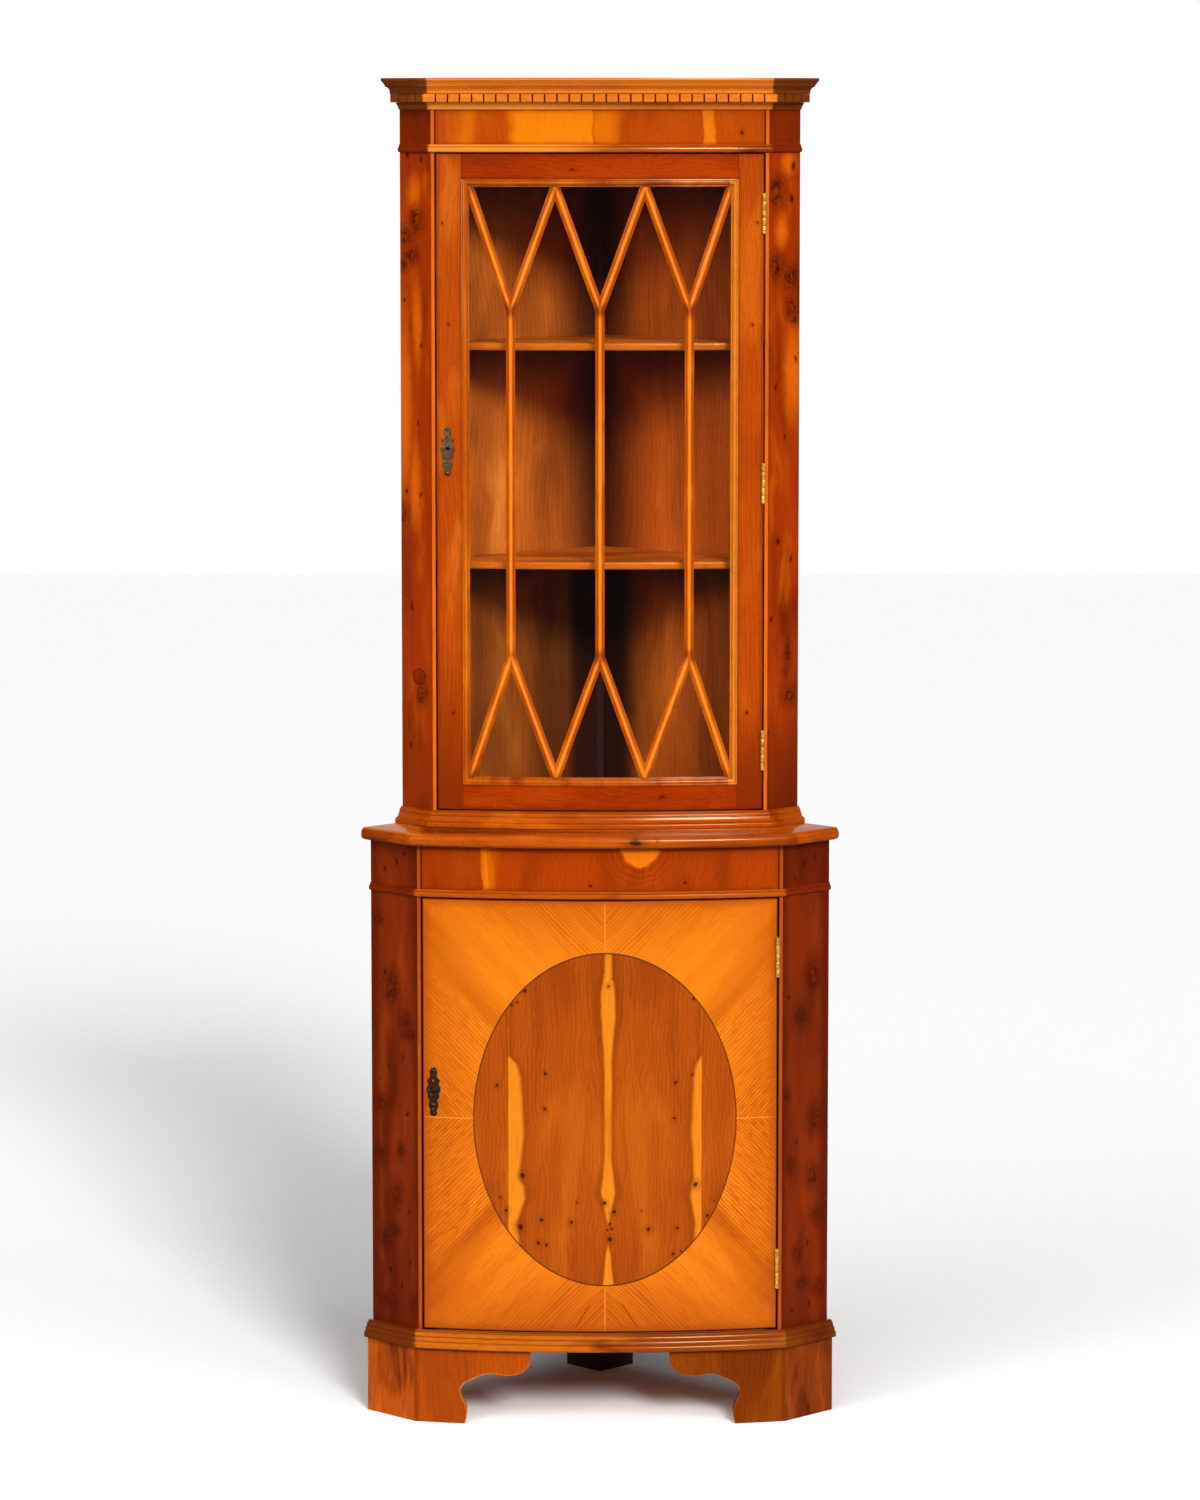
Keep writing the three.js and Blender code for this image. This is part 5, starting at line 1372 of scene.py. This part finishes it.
# Inside tones: mid and light are raised as painted light, to stand in for the light that the dim
# inside lacks, and deep is the colour that the painted shade goes to.
inside_tones = {
    "left": (tone(50, 18, 3), tone(208, 106, 29), tone(240, 143, 50), tone(156, 90, 44)),
    "right": (tone(50, 17, 2), tone(210, 98, 21), tone(238, 123, 32), tone(156, 90, 44)),
}


def wall_depth(place):
    """How far a place lies in front of the nearer of the two walls."""
    x, y, _ = place.split()
    return (wall_corner + shift - y - abs(x)) * 0.7071


def outside_face(place):
    """The face against the wall was never veneered: 1 there and 0 on the face inside."""
    return wall_depth(place).rise(0.012, 0.010)


def painted_inside_shade(place):
    """Painted shade inside: the panels are painted darker in the corner, under the top and
    under each shelf, and in the lowest compartment, there more on the left than on the right."""
    x, _, z = place.split()
    outer = (x * -1.0).rise(0.07, 0.12) * 0.32 + x.rise(0.03, 0.10) * 0.58
    low = z.rise(1.24, 1.19)
    near_corner = low * abs(x).rise(0.090, 0.030)
    under = (1.2125 - z).least(1.2125).rise(0.10, 0.0) * z.rise(1.2126, 1.2120)
    upper = (1.5225 - z).rise(0.09, 0.0) * z.rise(1.5226, 1.5220)
    corner = abs(x).rise(0.085, 0.0) * 0.92
    top = z.rise(1.62, 1.80) * 0.92
    shade = (low * (0.78 - outer)).most(upper * 0.77).most(under * 0.87).most(corner).most(top)
    shade = shade.most(near_corner)
    return shade * wall_depth(place).rise(0.010, 0.012)


# The panels' inside faces carry the painted shade.
for word, seed in (("left", 31.0), ("right", 37.0)):
    panel_wood = yew("upper_" + word + "_panel_veneer", inside_tones[word], "z", seed=seed,
                     figure=0.8, lines=0.3, flame=0.35, sap=outside_face, shade=painted_inside_shade,
                     shine=0.42, gloss=matt)
    dress(panel_wood, "upper_" + word + "_back_panel")
# The batten carries the same painted shade, which makes it dark in the corner.
batten_wood = yew("batten_wood", inside_tones["right"], "z", seed=41.0, shade=painted_inside_shade,
                  shine=0.45, gloss=matt)
dress(batten_wood, "rear_corner_batten")


# ---------------------------------------------------------------------------------------------
# The two glazed shelves: thin boards whose bowed front edges follow the door. Each is lipped
# with solid yew, rounded a little, and cut off at the back to clear the batten.
# ---------------------------------------------------------------------------------------------
shelf_setback = 0.034
shelf_thick = 0.0105
batten_cut = 0.0053
inner_corner_y = wall_corner - (panel_thick + seat) * math.sqrt(2)


def make_shelf(name, low, replaced):
    """Lines across the board from left to right: the lip's rounded profile along the bow in
    front, and one straight-sided line along the cants, walls and corner behind."""
    along = upper_stage[1] - stile_thick - seat
    inner = cant_corner(upper_stage, -shelf_setback, -stile_thick - seat)
    wall = beside_wall(along, panel_thick + seat, 1)
    cut_point = np.array([batten_cut, inner_corner_y - batten_cut + shift])
    rear_line = np.array([wall * (-1, 1), cut_point * (-1, 1), cut_point, wall])
    share = np.linspace(0, 1, 97)
    knots = np.array([0, 0.48, 0.52, 1])
    back = np.stack([np.interp(share, knots, rear_line[:, axis]) for axis in (0, 1)], 1)
    x = np.interp(share, [0, 1], [-inner[0], inner[0]])
    lip = drawn([(0.0022, 0.0), (0.0007, 0.0006), (0.0, 0.0026)], [(0.0, 0.0026), (0.0, 0.0080)],
                [(0.0, 0.0080), (0.0007, 0.0099), (0.0022, 0.0105)])
    lines = [np.column_stack([x, bow_y(upper_stage, x, -shelf_setback) + set_back,
                              np.full(97, low + up)]) for set_back, up in lip]
    lines += [np.column_stack([back, np.full(97, low + up)]) for up in (shelf_thick, 0)]
    points, blocks = sweep(lines)
    return put(name, points, blocks, glazed_shelf_wood, "root", "interior_veneer", [replaced])


def shelf_veneer():
    """Top and underside in plain brown veneer, the lip in paler solid wood: the height above
    each shelf's underside and the distance from the bow tell them apart."""
    place = Shade.start("glazed_shelf_veneer")
    x, y, z = place.split()
    frame_x = place.join(z, y, x).vector("ADD", (0.0, 0.3, 9.1))
    bend = frame_x.vector("MULTIPLY", (1, 1, 0.3)).noise(16, 2, out=1)
    wild = frame_x.vector("ADD", bend.vector("MULTIPLY", (0.02, 0.02, 0)))
    clouds = wild.vector("MULTIPLY", (1, 1, 0.3)).noise(13, 3, 0.55)
    fine = wild.vector("MULTIPLY", (1, 1, 0.02)).noise(420, 3, 0.6)
    colour = clouds.rise(0.40, 0.62).mix(tone(208, 104, 22), tone(153, 67, 10))
    colour = (fine.rise(0.46, 0.68) * 0.5).mix(colour, tone(134, 52, 6))
    reach = place.vector("MULTIPLY", (1, 1, 0)).vector(
        "DISTANCE", (0, upper_stage[0] + shift, 0), 1)
    lip = reach.rise(bow_radius - shelf_setback - 0.0042, bow_radius - shelf_setback - 0.0036)
    lip_wood = (fine.rise(0.45, 0.7) * 0.45).mix(tone(196, 96, 13), tone(148, 60, 4))
    colour = lip.mix(colour, lip_wood)
    return place.finish(
        colour, fine.rise(0.35, 0.7) * 0.08 + 0.32, fine, 0.00005,
        **lacquer)


glazed_shelf_wood = shelf_veneer()
make_shelf("lower_shelf_board", 1.2125, "lower_shelf")
make_shelf("upper_shelf_board", 1.5225, "upper_shelf")


# ---------------------------------------------------------------------------------------------
# Upper frieze and the mouldings of the upper stage: a foot moulding on the waist board, a bead
# under the frieze, and above it the bed moulding, the dentil course and the cornice.
# ---------------------------------------------------------------------------------------------
upper_frieze_low = 1.8006
carcass_top = 1.896
upper_frieze_tones = (tone(125, 40, 0), tone(164, 62, 2), tone(180, 82, 6), tone(212, 112, 6))
upper_frieze_wood = yew(
    "upper_frieze_veneer", upper_frieze_tones, "z", seed=14.2, figure=0.85, lines=0.45,
    waves=20.0, loop=0.9, flame=0.8, knots=[(199, 1829, 2.6, 3.0)],
    sap=bands((-124, -10, 12, 1.2, 0.95), (-196, -176, 8, 10, 0.45), (-8, 24, 4, 14, 0.5),
              (146, 162, 1.5, 2.5, 0.75)),
    rim=rectangle_rim(-0.231, 0.231, 1.811, 1.861),
)
points, blocks = bow_board(upper_stage, upper_opening - seat, upper_frieze_low, carcass_top,
                           0, -frieze_board)
put("upper_frieze_board", points, blocks, upper_frieze_wood, "root", "yew_veneer",
    ["upper_frieze"], ease=0.0006)

upper_bead_wood = worn_yew(
    "upper_frieze_moulding_wood", bead_tones, upper_frieze_low, bead_height,
    [(0.0, 0.12), (0.70, 0.10)], tone(104, 26, 2), 2.3,
    turns=[(0.06, -0.09, 0.75, tone(224, 134, 40))],
)
points, blocks = moulding(upper_stage, bead_profile, bead_proud, upper_frieze_low, bead_height)
put("upper_frieze_moulding_run", points, blocks, upper_bead_wood, "root", "yew_dark",
    ["upper_frieze_moulding"])

upper_foot_low = 0.8473
upper_foot_height = 0.0232
upper_foot_profile = drawn(
    [(1.0, 0.0), (1.0, 0.19)],
    [(1.0, 0.19), (0.97, 0.27), (0.88, 0.32)],
    [(0.88, 0.32), (0.86, 0.35)],
    [(0.86, 0.35), (0.70, 0.40), (0.56, 0.51), (0.48, 0.68)],
    [(0.48, 0.68), (0.42, 0.70)],
    [(0.42, 0.70), (0.42, 0.78), (0.36, 0.87), (0.26, 0.91)],
    [(0.26, 0.91), (0.2, 1.0)],
)
foot_wood = worn_yew(
    "upper_foot_moulding_wood",
    (tone(94, 25, 0), tone(155, 61, 1), tone(180, 82, 4), tone(210, 119, 11)),
    upper_foot_low, upper_foot_height,
    [(0.0, 0.1), (0.34, 0.05), (0.69, 0.05), (0.95, 0.08)], tone(146, 60, 10), 3.3,
)
points, blocks = moulding(upper_stage, upper_foot_profile, 0.015, upper_foot_low,
                          upper_foot_height)
put("upper_foot_moulding_run", points, blocks, foot_wood, "root", "yew_moulding",
    ["upper_foot_moulding"], ease=0.0004)

bed_low, bed_height = 1.8603, 0.010
bed_profile = drawn(
    [(0.28, 0.0), (0.30, 0.05)],
    [(0.30, 0.05), (0.36, 0.26), (0.52, 0.46), (0.74, 0.58)],
    [(0.74, 0.58), (0.76, 0.78)],
    [(0.76, 0.78), (0.98, 0.81)],
    [(0.98, 0.81), (1.0, 0.9), (1.0, 1.0)],
)
top_tones = (tone(158, 64, 8), tone(226, 120, 30), tone(240, 138, 44), tone(255, 180, 46))
bed_wood = worn_yew("bed_moulding_wood", top_tones, bed_low, bed_height,
                    [(0.0, 0.10), (0.76, 0.06)], tone(98, 30, 2), 4.3, 0.6, 0.4,
                    [(0.10, -0.14, 0.8, tone(255, 156, 56))])
points, blocks = moulding(upper_stage, bed_profile, 0.007, bed_low, bed_height)
put("bed_moulding_run", points, blocks, bed_wood, "root", "yew_moulding", ["bed_moulding"])

dentil_low, dentil_height = 1.8704, 0.0114
dentil_proud, dentil_back = 0.018, 0.013
dentil_pitch, dentil_slit = 0.0169, 0.0022


def dentil_course():
    """The plan's outline, with a slit sawn into it between two blocks, carried straight up."""
    corner = cant_corner(upper_stage, dentil_proud, dentil_proud)
    radius = bow_radius + dentil_proud
    bow_half = math.asin(corner[0] / radius)
    count = round(2 * bow_half * radius / dentil_pitch)
    step = 2 * bow_half / count
    slit = dentil_slit / radius / 2
    sawn = np.arange(1, count) * step - bow_half
    angle = np.stack([sawn - slit, sawn - slit, sawn + slit, sawn + slit], 1).reshape(-1)
    proud = np.tile([dentil_proud, dentil_back, dentil_back, dentil_proud], count - 1)
    reach = bow_radius + proud
    front = np.stack([np.sin(angle) * reach,
                      upper_stage[0] - np.cos(angle) * reach + shift], 1)
    depth = (wall_corner - (corner[1] - shift) - corner[0]) * math.sqrt(0.5)
    cant_count = round(depth / dentil_pitch)
    cuts = depth * (1 - np.arange(1, cant_count) / cant_count)
    right = []
    for cut in cuts:
        for out, at in ((dentil_proud, 1), (dentil_back, 1), (dentil_back, -1),
                        (dentil_proud, -1)):
            right.append(beside_wall(upper_stage[1] + out, cut + at * dentil_slit / 2, 1))
    right.append(beside_wall(upper_stage[1] + dentil_proud, wall_inset, 1))
    right = np.array(right)
    front = np.concatenate([[corner * (-1, 1)], front, [corner]])
    inner = front_line(upper_stage, seat)[::-1]
    plan = np.concatenate([(right * (-1, 1))[::-1], front, right, inner])
    levels = [np.column_stack([plan, np.full(len(plan), dentil_low + up)])
              for up in (0, dentil_height)]
    return sweep(np.stack(levels, 1))


def dentil_wood_of(name):
    """Dentil wood: paler faces, painted shade near black in the saw cuts, told by the distance
    from the bow, darker cants and a darker foot.
    """
    place = Shade.start(name)
    x, y, z = place.split()
    run = place.join(z, y, x)
    clouds = run.vector("MULTIPLY", (1, 1, 0.3)).noise(22, 3, 0.6)
    fine = run.vector("MULTIPLY", (1, 1, 0.03)).noise(520, 3, 0.6)
    colour = clouds.rise(0.52, 0.36).mix(tone(202, 104, 26), tone(224, 130, 43))
    colour = (fine.rise(0.48, 0.7) * 0.4).mix(colour, tone(150, 56, 7))
    reach = place.vector("MULTIPLY", (1, 1, 0)).vector(
        "DISTANCE", (0, upper_stage[0] + shift, 0), 1)
    half = cant_corner(upper_stage, 0, 0)[0]
    on_bow = abs(x).rise(half + 0.013, half + 0.011)
    # Painted shade: the saw cuts between the dentils are painted near black.
    cut = reach.rise(bow_radius + dentil_proud - 0.0012, bow_radius + dentil_proud - 0.0026)
    colour = (on_bow * cut * 0.85).mix(colour, tone(70, 20, 2))
    aside = abs(x).rise(half + 0.008, half + 0.012)
    colour = (aside * 0.85).mix(colour, tone(80, 28, 5))
    # Darker in the lowest 2 mm.
    low_darkening = (z - dentil_low).rise(0.002, 0.0) * 0.5
    colour = low_darkening.mix(colour, tone(90, 30, 6))
    return place.finish(
        colour, fine.rise(0.35, 0.7) * 0.08 + 0.19, fine, 0.00005,
        **lacquer)


points, blocks = dentil_course()
put("dentil_course_run", points, blocks, dentil_wood_of("dentil_wood"), "root", "yew_moulding",
    ["dentil_course"], ease=0.0003)

cornice_low, cornice_height = 1.8819, 0.0221
cornice_proud = 0.036
cornice_profile = drawn(
    [(0.50, 0.0), (0.52, 0.06)],
    [(0.52, 0.06), (0.53, 0.18), (0.58, 0.32), (0.68, 0.43), (0.78, 0.47)],
    [(0.78, 0.47), (0.79, 0.53)],
    [(0.79, 0.53), (0.83, 0.62), (0.90, 0.70), (0.955, 0.80)],
    [(0.955, 0.80), (0.99, 0.82)],
    [(0.99, 0.82), (1.0, 0.86), (1.0, 0.955), (0.99, 1.0)],
)
cornice_wood = worn_yew("cornice_wood", top_tones, cornice_low, cornice_height,
                        [(0.0, 0.1), (0.50, 0.05), (0.81, 0.05), (1.0, 0.09)],
                        tone(76, 20, 1), 5.3, 0.8, 0.4)
points, blocks = moulding(upper_stage, cornice_profile, cornice_proud, cornice_low,
                          cornice_height)
put("cornice_moulding_run", points, blocks, cornice_wood, "root", "yew_moulding",
    ["cornice_moulding"])


# ---------------------------------------------------------------------------------------------
# The glazed door's frame: two stiles that run the full height and two rails tenoned between
# them, all sawn to the bow in solid yew, redder on the rails, with the left stile cut for a lock.
# ---------------------------------------------------------------------------------------------
upper_door_low, upper_door_high = 0.8725, 1.7986
frame_half = 0.195
frame_low, frame_high = upper_door_low + 0.035, upper_door_high - 0.035
upper_key_x, upper_key_z = -0.215, 1.385


def frame_rim(place):
    """The distance to the outer edge of the door frame or to the moulding inside it."""
    x, _, z = place.split()
    outer = rectangle_rim(-upper_door_half, upper_door_half, upper_door_low, upper_door_high)
    inner = (abs(x) - frame_half).most((frame_low - z).most(z - frame_high))
    return outer(place).least(inner + 0.0015)


def darker_lower_stiles(place):
    """The stiles are darker towards their lower ends, down to the rail."""
    return place.split()[2].rise(1.05, 0.90) * 0.9


stile_tones = {
    "left": (tone(113, 33, 1), tone(160, 63, 5), tone(180, 83, 16), tone(193, 105, 27)),
    "right": (tone(112, 32, 1), tone(159, 61, 4), tone(178, 80, 11), tone(195, 105, 25)),
}
for word, side in (("left", -1), ("right", 1)):
    stile_wood = yew(
        "upper_door_" + word + "_stile_wood", stile_tones[word], "z", seed=51.0 + 3 * side,
        figure=0.9, lines=0.5, flame=0.55, rim=frame_rim, shade=darker_lower_stiles,
        knots=[(side * 214, 1560, 1.6, 2), (side * 208, 1010, 1.8, 2), (side * 222, 1702, 1.4, 2)],
    )
    low_x, high_x = sorted((side * frame_half, side * upper_door_half))
    points, blocks = shell(
        bow_sheet(upper_stage, low_x, high_x, upper_door_low, upper_door_high, 0, 10, 40),
        bow_sheet(upper_stage, low_x, high_x, upper_door_low, upper_door_high, -door_thick, 10,
                  40),
    )
    stile = put("upper_door_" + word + "_stile_board", points, blocks, stile_wood, "upper_door",
                "yew_veneer", ["upper_door_" + word + "_stile"])
    if side < 0:
        cut_away(stile, *lock_waste(upper_stage, upper_door_half, upper_key_x, upper_key_z))
    ease = stile.modifiers.new("eased_edge", "BEVEL")
    ease.width, ease.segments, ease.limit_method = 0.0005, 2, "ANGLE"
    ease.angle_limit = math.radians(40)

rail_tones = (tone(100, 21, 0), tone(143, 42, 1), tone(158, 55, 2), tone(188, 92, 15))
for word, low, high in (("bottom", upper_door_low, frame_low),
                        ("top", frame_high, upper_door_high)):
    rail_wood = yew(
        "upper_door_" + word + "_rail_wood", rail_tones, "x", seed=61.0 + low, figure=0.9,
        lines=0.6, waves=14.0, loop=0.6, rim=frame_rim, knots=[(-40, 1776, 3, 1.5), (88, 892, 3, 1.8)],
    )
    points, blocks = bow_board(upper_stage, frame_half - seat, low, high, 0, -door_thick)
    put("upper_door_" + word + "_rail_board", points, blocks, rail_wood, "upper_door",
        "yew_veneer", ["upper_door_" + word + "_rail"], ease=0.0005)


# ---------------------------------------------------------------------------------------------
# Sight moulding: a small solid moulding round the glass, mitred at its four corners and bent
# with the door. A bead behind the glass, which only shows when the door is open, holds the pane.
# ---------------------------------------------------------------------------------------------
sight_half, sight_low, sight_high = 0.184, 0.9185, 1.7526
sight_width, sight_depth = 0.011, 0.0117


def wrap(lines):
    """A profile carried round a closed path: quads join all neighbours both ways round."""
    lines = np.asarray(lines)
    index = np.arange(lines.shape[0] * lines.shape[1]).reshape(lines.shape[:2])
    onward, after = np.roll(index, -1, 1), np.roll(index, -1, 0)
    quads = np.stack([index, onward, np.roll(onward, -1, 0), after], -1)
    return lines.reshape(-1, 3), [quads.reshape(-1, 4)]


def sight_loop(out, back):
    """The opening's four sides moved outwards, as one loop on the bow moved back."""
    half = sight_half + out
    x = np.linspace(-half, half, 64)
    lower = np.column_stack([x, bow_y(upper_stage, x, -back), np.full(64, sight_low - out)])
    upper = np.column_stack([x, bow_y(upper_stage, x, -back), np.full(64, sight_high + out)])
    return np.concatenate([lower, upper[::-1]])


sight_profile = drawn(
    [(0.0, 1.0), (0.0, 0.55)],
    [(0.0, 0.55), (0.03, 0.48), (0.10, 0.45), (0.18, 0.47)],
    [(0.18, 0.47), (0.22, 0.46)],
    [(0.22, 0.46), (0.26, 0.30), (0.40, 0.16), (0.60, 0.10), (0.76, 0.13)],
    [(0.76, 0.13), (0.79, 0.04)],
    [(0.79, 0.04), (0.86, 0.0), (0.97, 0.02)],
    [(0.97, 0.02), (0.97, 1.0)],
)
light_tones = (tone(123, 41, 2), tone(171, 78, 7), tone(191, 99, 15), tone(205, 119, 28))


def sight_quirk_shade(place):
    """Painted shade in the two quirks of the moulding: 0 there, told by the distance from the
    opening.
    """
    x, _, z = place.split()
    out = (abs(x) - sight_half).most((sight_low - z).most(z - sight_high))
    return abs(out - 0.0022).least(abs(out - 0.0086)).least(abs(out - 0.0108)) + 0.0035


def right_sight_painted_light(place):
    """Painted light: the right side's moulding is painted paler, to stand in for light on its
    inner face, which turns away from the daylight.
    """
    return place.split()[0].rise(sight_half - 0.003, sight_half - 0.001) * 0.8


# Painted shade in the quirks and painted light on the right side.
sight_wood = yew("sight_moulding_wood", light_tones, "z", seed=71.0, figure=1.2, lines=0.4,
                 rim=sight_quirk_shade, rim_tone=tone(110, 38, 8), sap=right_sight_painted_light,)
points, blocks = wrap([sight_loop(out * sight_width, back * sight_depth)
                       for out, back in sight_profile])
put("sight_moulding_run", points, blocks, sight_wood, "upper_door", "yew_moulding",
    ["sight_moulding"])
dress(carcass_wood, "glazing_bead")


# ---------------------------------------------------------------------------------------------
# The pane: one sheet of thin bowed glass behind the bars. It mirrors the pale room a little
# where it is seen slantwise and lets nearly everything through where it is seen square on. Both
# faces' mirroring is reckoned at the face where the light goes in, as light leaves unbent.
# ---------------------------------------------------------------------------------------------
glass_half, glass_low, glass_high = 0.191, 0.9115, 1.7596
points, blocks = shell(
    bow_sheet(upper_stage, -glass_half, glass_half, glass_low, glass_high, -0.012),
    bow_sheet(upper_stage, -glass_half, glass_half, glass_low, glass_high, -0.015),
)
glass_place = Shade.start("bowed_glass")
one_face = glass_place.add("Fresnel", {}, {"IOR": 1.45})
going_out = glass_place.add("NewGeometry", {}, {}, "Backfacing")
sheen = one_face * 2.0 / (one_face + 1.0) * (1.0 - going_out)
clear = glass_place.add("BsdfTransparent", {}, {"Color": (0.985, 0.99, 0.985, 1)})
mirror = glass_place.add(
    "BsdfPrincipled", {}, {"Base Color": white, "Metallic": 1.0, "Roughness": 0.02})
pane_mix = glass_place.add("MixShader", {}, {0: sheen, 1: clear, 2: mirror})
glass_place.add("OutputMaterial", {}, {"Surface": pane_mix})
put("bowed_pane", points, blocks, bpy.data.materials["bowed_glass"], "upper_door", "glass",
    ["door_glass"])


# ---------------------------------------------------------------------------------------------
# Glazing bars: solid yew astragals with a round ridge between two fillets, planted on the glass
# and mitred to each other: three uprights that part at both ends into points.
# ---------------------------------------------------------------------------------------------
bar_width, bar_depth = 0.013, 0.010
bar_back = sight_depth - 0.00015
column_pitch = 0.685 * sight_half
branch_height = 0.207 * (sight_high - sight_low)
half_section = [
    [(0.5, 0.0), (0.5, 0.48)],
    [(0.5, 0.48), (0.47, 0.54), (0.40, 0.56)],
    [(0.40, 0.56), (0.35, 0.56)],
    [(0.35, 0.56), (0.30, 0.66), (0.22, 0.76), (0.16, 0.80)],
    [(0.16, 0.80), (0.15, 0.90), (0.10, 0.97), (0.0, 1.0)],
]
right_half = drawn(*half_section)
bar_section = np.concatenate([right_half, (right_half * (-1, 1))[-2::-1]])
bar_section = bar_section * (bar_width, bar_depth)


def make_bar(start, end, planes):
    """One bar along a line in the plane of the door, bent on to the bow. Every line of its
    section runs on until it meets the first of the planes that end it (a mitre or the frame)."""
    start, end = np.array(start, float), np.array(end, float)
    way = (end - start) / np.linalg.norm(end - start)
    across = np.array([way[1], -way[0]])
    low = np.full(len(bar_section), -np.inf)
    high = np.full(len(bar_section), np.inf)
    for normal, point in planes:
        lean = normal @ way
        meet = (normal @ (np.asarray(point) - start) - bar_section[:, 0] * (normal @ across))
        meet = meet / lean
        low, high = (low, np.minimum(high, meet)) if lean > 0 else (np.maximum(low, meet), high)
    t = low[:, None] + (high - low)[:, None] * np.linspace(0, 1, 20)[None, :]
    flat = start + t[..., None] * way + bar_section[:, None, :1] * across
    out = bar_section[:, 1][:, None] - bar_back
    return np.stack([flat[..., 0], bow_y(upper_stage, flat[..., 0], out), flat[..., 1]], -1)


def mitre(node, own, other):
    """The plane through a node that halves the angle between two bars leaving it."""
    own = (np.array(own) - node) / np.linalg.norm(np.array(own) - node)
    other = (np.array(other) - node) / np.linalg.norm(np.array(other) - node)
    normal = (other - own) / np.linalg.norm(other - own)
    return normal, node


bars, starts = [], 0
bar_blocks = []
edge = sight_half - 0.0001
frame_planes = [(np.array([0.0, 1.0]), (0, sight_high - 0.0001)),
                (np.array([0.0, -1.0]), (0, sight_low + 0.0001))]
side_planes = {1: (np.array([1.0, 0.0]), (edge, 0)), -1: (np.array([-1.0, 0.0]), (-edge, 0))}
for column in (-1, 0, 1):
    x = column * column_pitch
    top, foot = np.array([x, sight_high - branch_height]), np.array([x, sight_low + branch_height])
    ends = {}
    for side in (-1, 1):
        away = max(-sight_half, min(sight_half, x + side * column_pitch / 2))
        ends[side] = {1: np.array([away, sight_high]), -1: np.array([away, sight_low])}
    upright_planes = [mitre(top, foot, ends[side][1]) for side in (-1, 1)]
    upright_planes += [mitre(foot, top, ends[side][-1]) for side in (-1, 1)]
    bars.append(make_bar(foot, top, upright_planes))
    for side in (-1, 1):
        for level, node, opposite in ((1, top, foot), (-1, foot, top)):
            end = ends[side][level]
            planes = [mitre(node, end, opposite), mitre(node, end, ends[-side][level])]
            planes.append(frame_planes[0 if level > 0 else 1])
            if column * side == 1:
                planes.append(side_planes[side])
            else:
                planes.append((np.array([float(side), 0.0]), end))
            bars.append(make_bar(node, end, planes))
for lines in bars:
    bar_points, blocks = sweep(lines)
    bar_blocks += [np.asarray(block) + starts for block in blocks]
    starts += len(bar_points)


def bar_wood():
    """Pale yew with grain along each bar's run, with a painted highlight along the crest of the
    section and painted shade in the quirks beside it and low on its sides by the glass; the
    height of the section over the glass, told by the distance from the bow's middle, places
    them. Near the bars' meetings and ends the wood is darker."""
    place = Shade.start("glazing_bar_wood")
    clouds = place.vector("MULTIPLY", (1, 1, 0.3)).noise(26, 3, 0.6)
    fine = place.vector("MULTIPLY", (1, 1, 0.05)).noise(520, 3, 0.6)
    colour = clouds.rise(0.54, 0.38).mix(tone(186, 82, 8), tone(214, 110, 20))
    colour = (fine.rise(0.48, 0.7) * 0.35).mix(colour, tone(127, 40, 1))
    reach = place.vector("MULTIPLY", (1, 1, 0)).vector(
        "DISTANCE", (0, upper_stage[0] + shift, 0), 1)
    height = reach - (bow_radius - bar_back)
    # Painted highlight along the crest.
    ridge_highlight = height.rise(0.0084, 0.0096)
    colour = (ridge_highlight * 0.6).mix(colour, tone(240, 132, 36))
    # Painted shade in the quirks.
    quirk_shade = abs(height - 0.0062).rise(0.0016, 0.0003) * 0.6
    colour = quirk_shade.mix(colour, tone(120, 40, 3))
    # Painted shade low on the sides, beside the glass.
    colour = (height.rise(0.0046, 0.0030) * 0.6).mix(colour, tone(120, 42, 3))
    x, y, z = place.split()
    near = abs(z - (sight_high - branch_height)).least(abs(z - (sight_low + branch_height)))
    near = near.least(sight_high - z).least(z - sight_low)
    ends = near.rise(0.016, 0.002)
    colour = (ends * clouds.rise(0.2, 0.6) * 0.7).mix(colour, tone(104, 34, 4))
    return place.finish(
        colour, fine.rise(0.35, 0.7) * 0.08 + 0.18, fine, 0.00005,
        **lacquer)


put("glazing_bars_run", np.concatenate([lines.reshape(-1, 3) for lines in bars]), bar_blocks,
    bar_wood(), "upper_door", "yew_moulding", ["glazing_bars"])

pale_cast = aged_brass("worn_brass", tone(140, 112, 84), tone(190, 164, 130), tone(70, 50, 34))
make_plate("upper_escutcheon_plate", upper_stage, upper_key_x, upper_key_z, pale_cast,
           "upper_door", ["upper_escutcheon"])
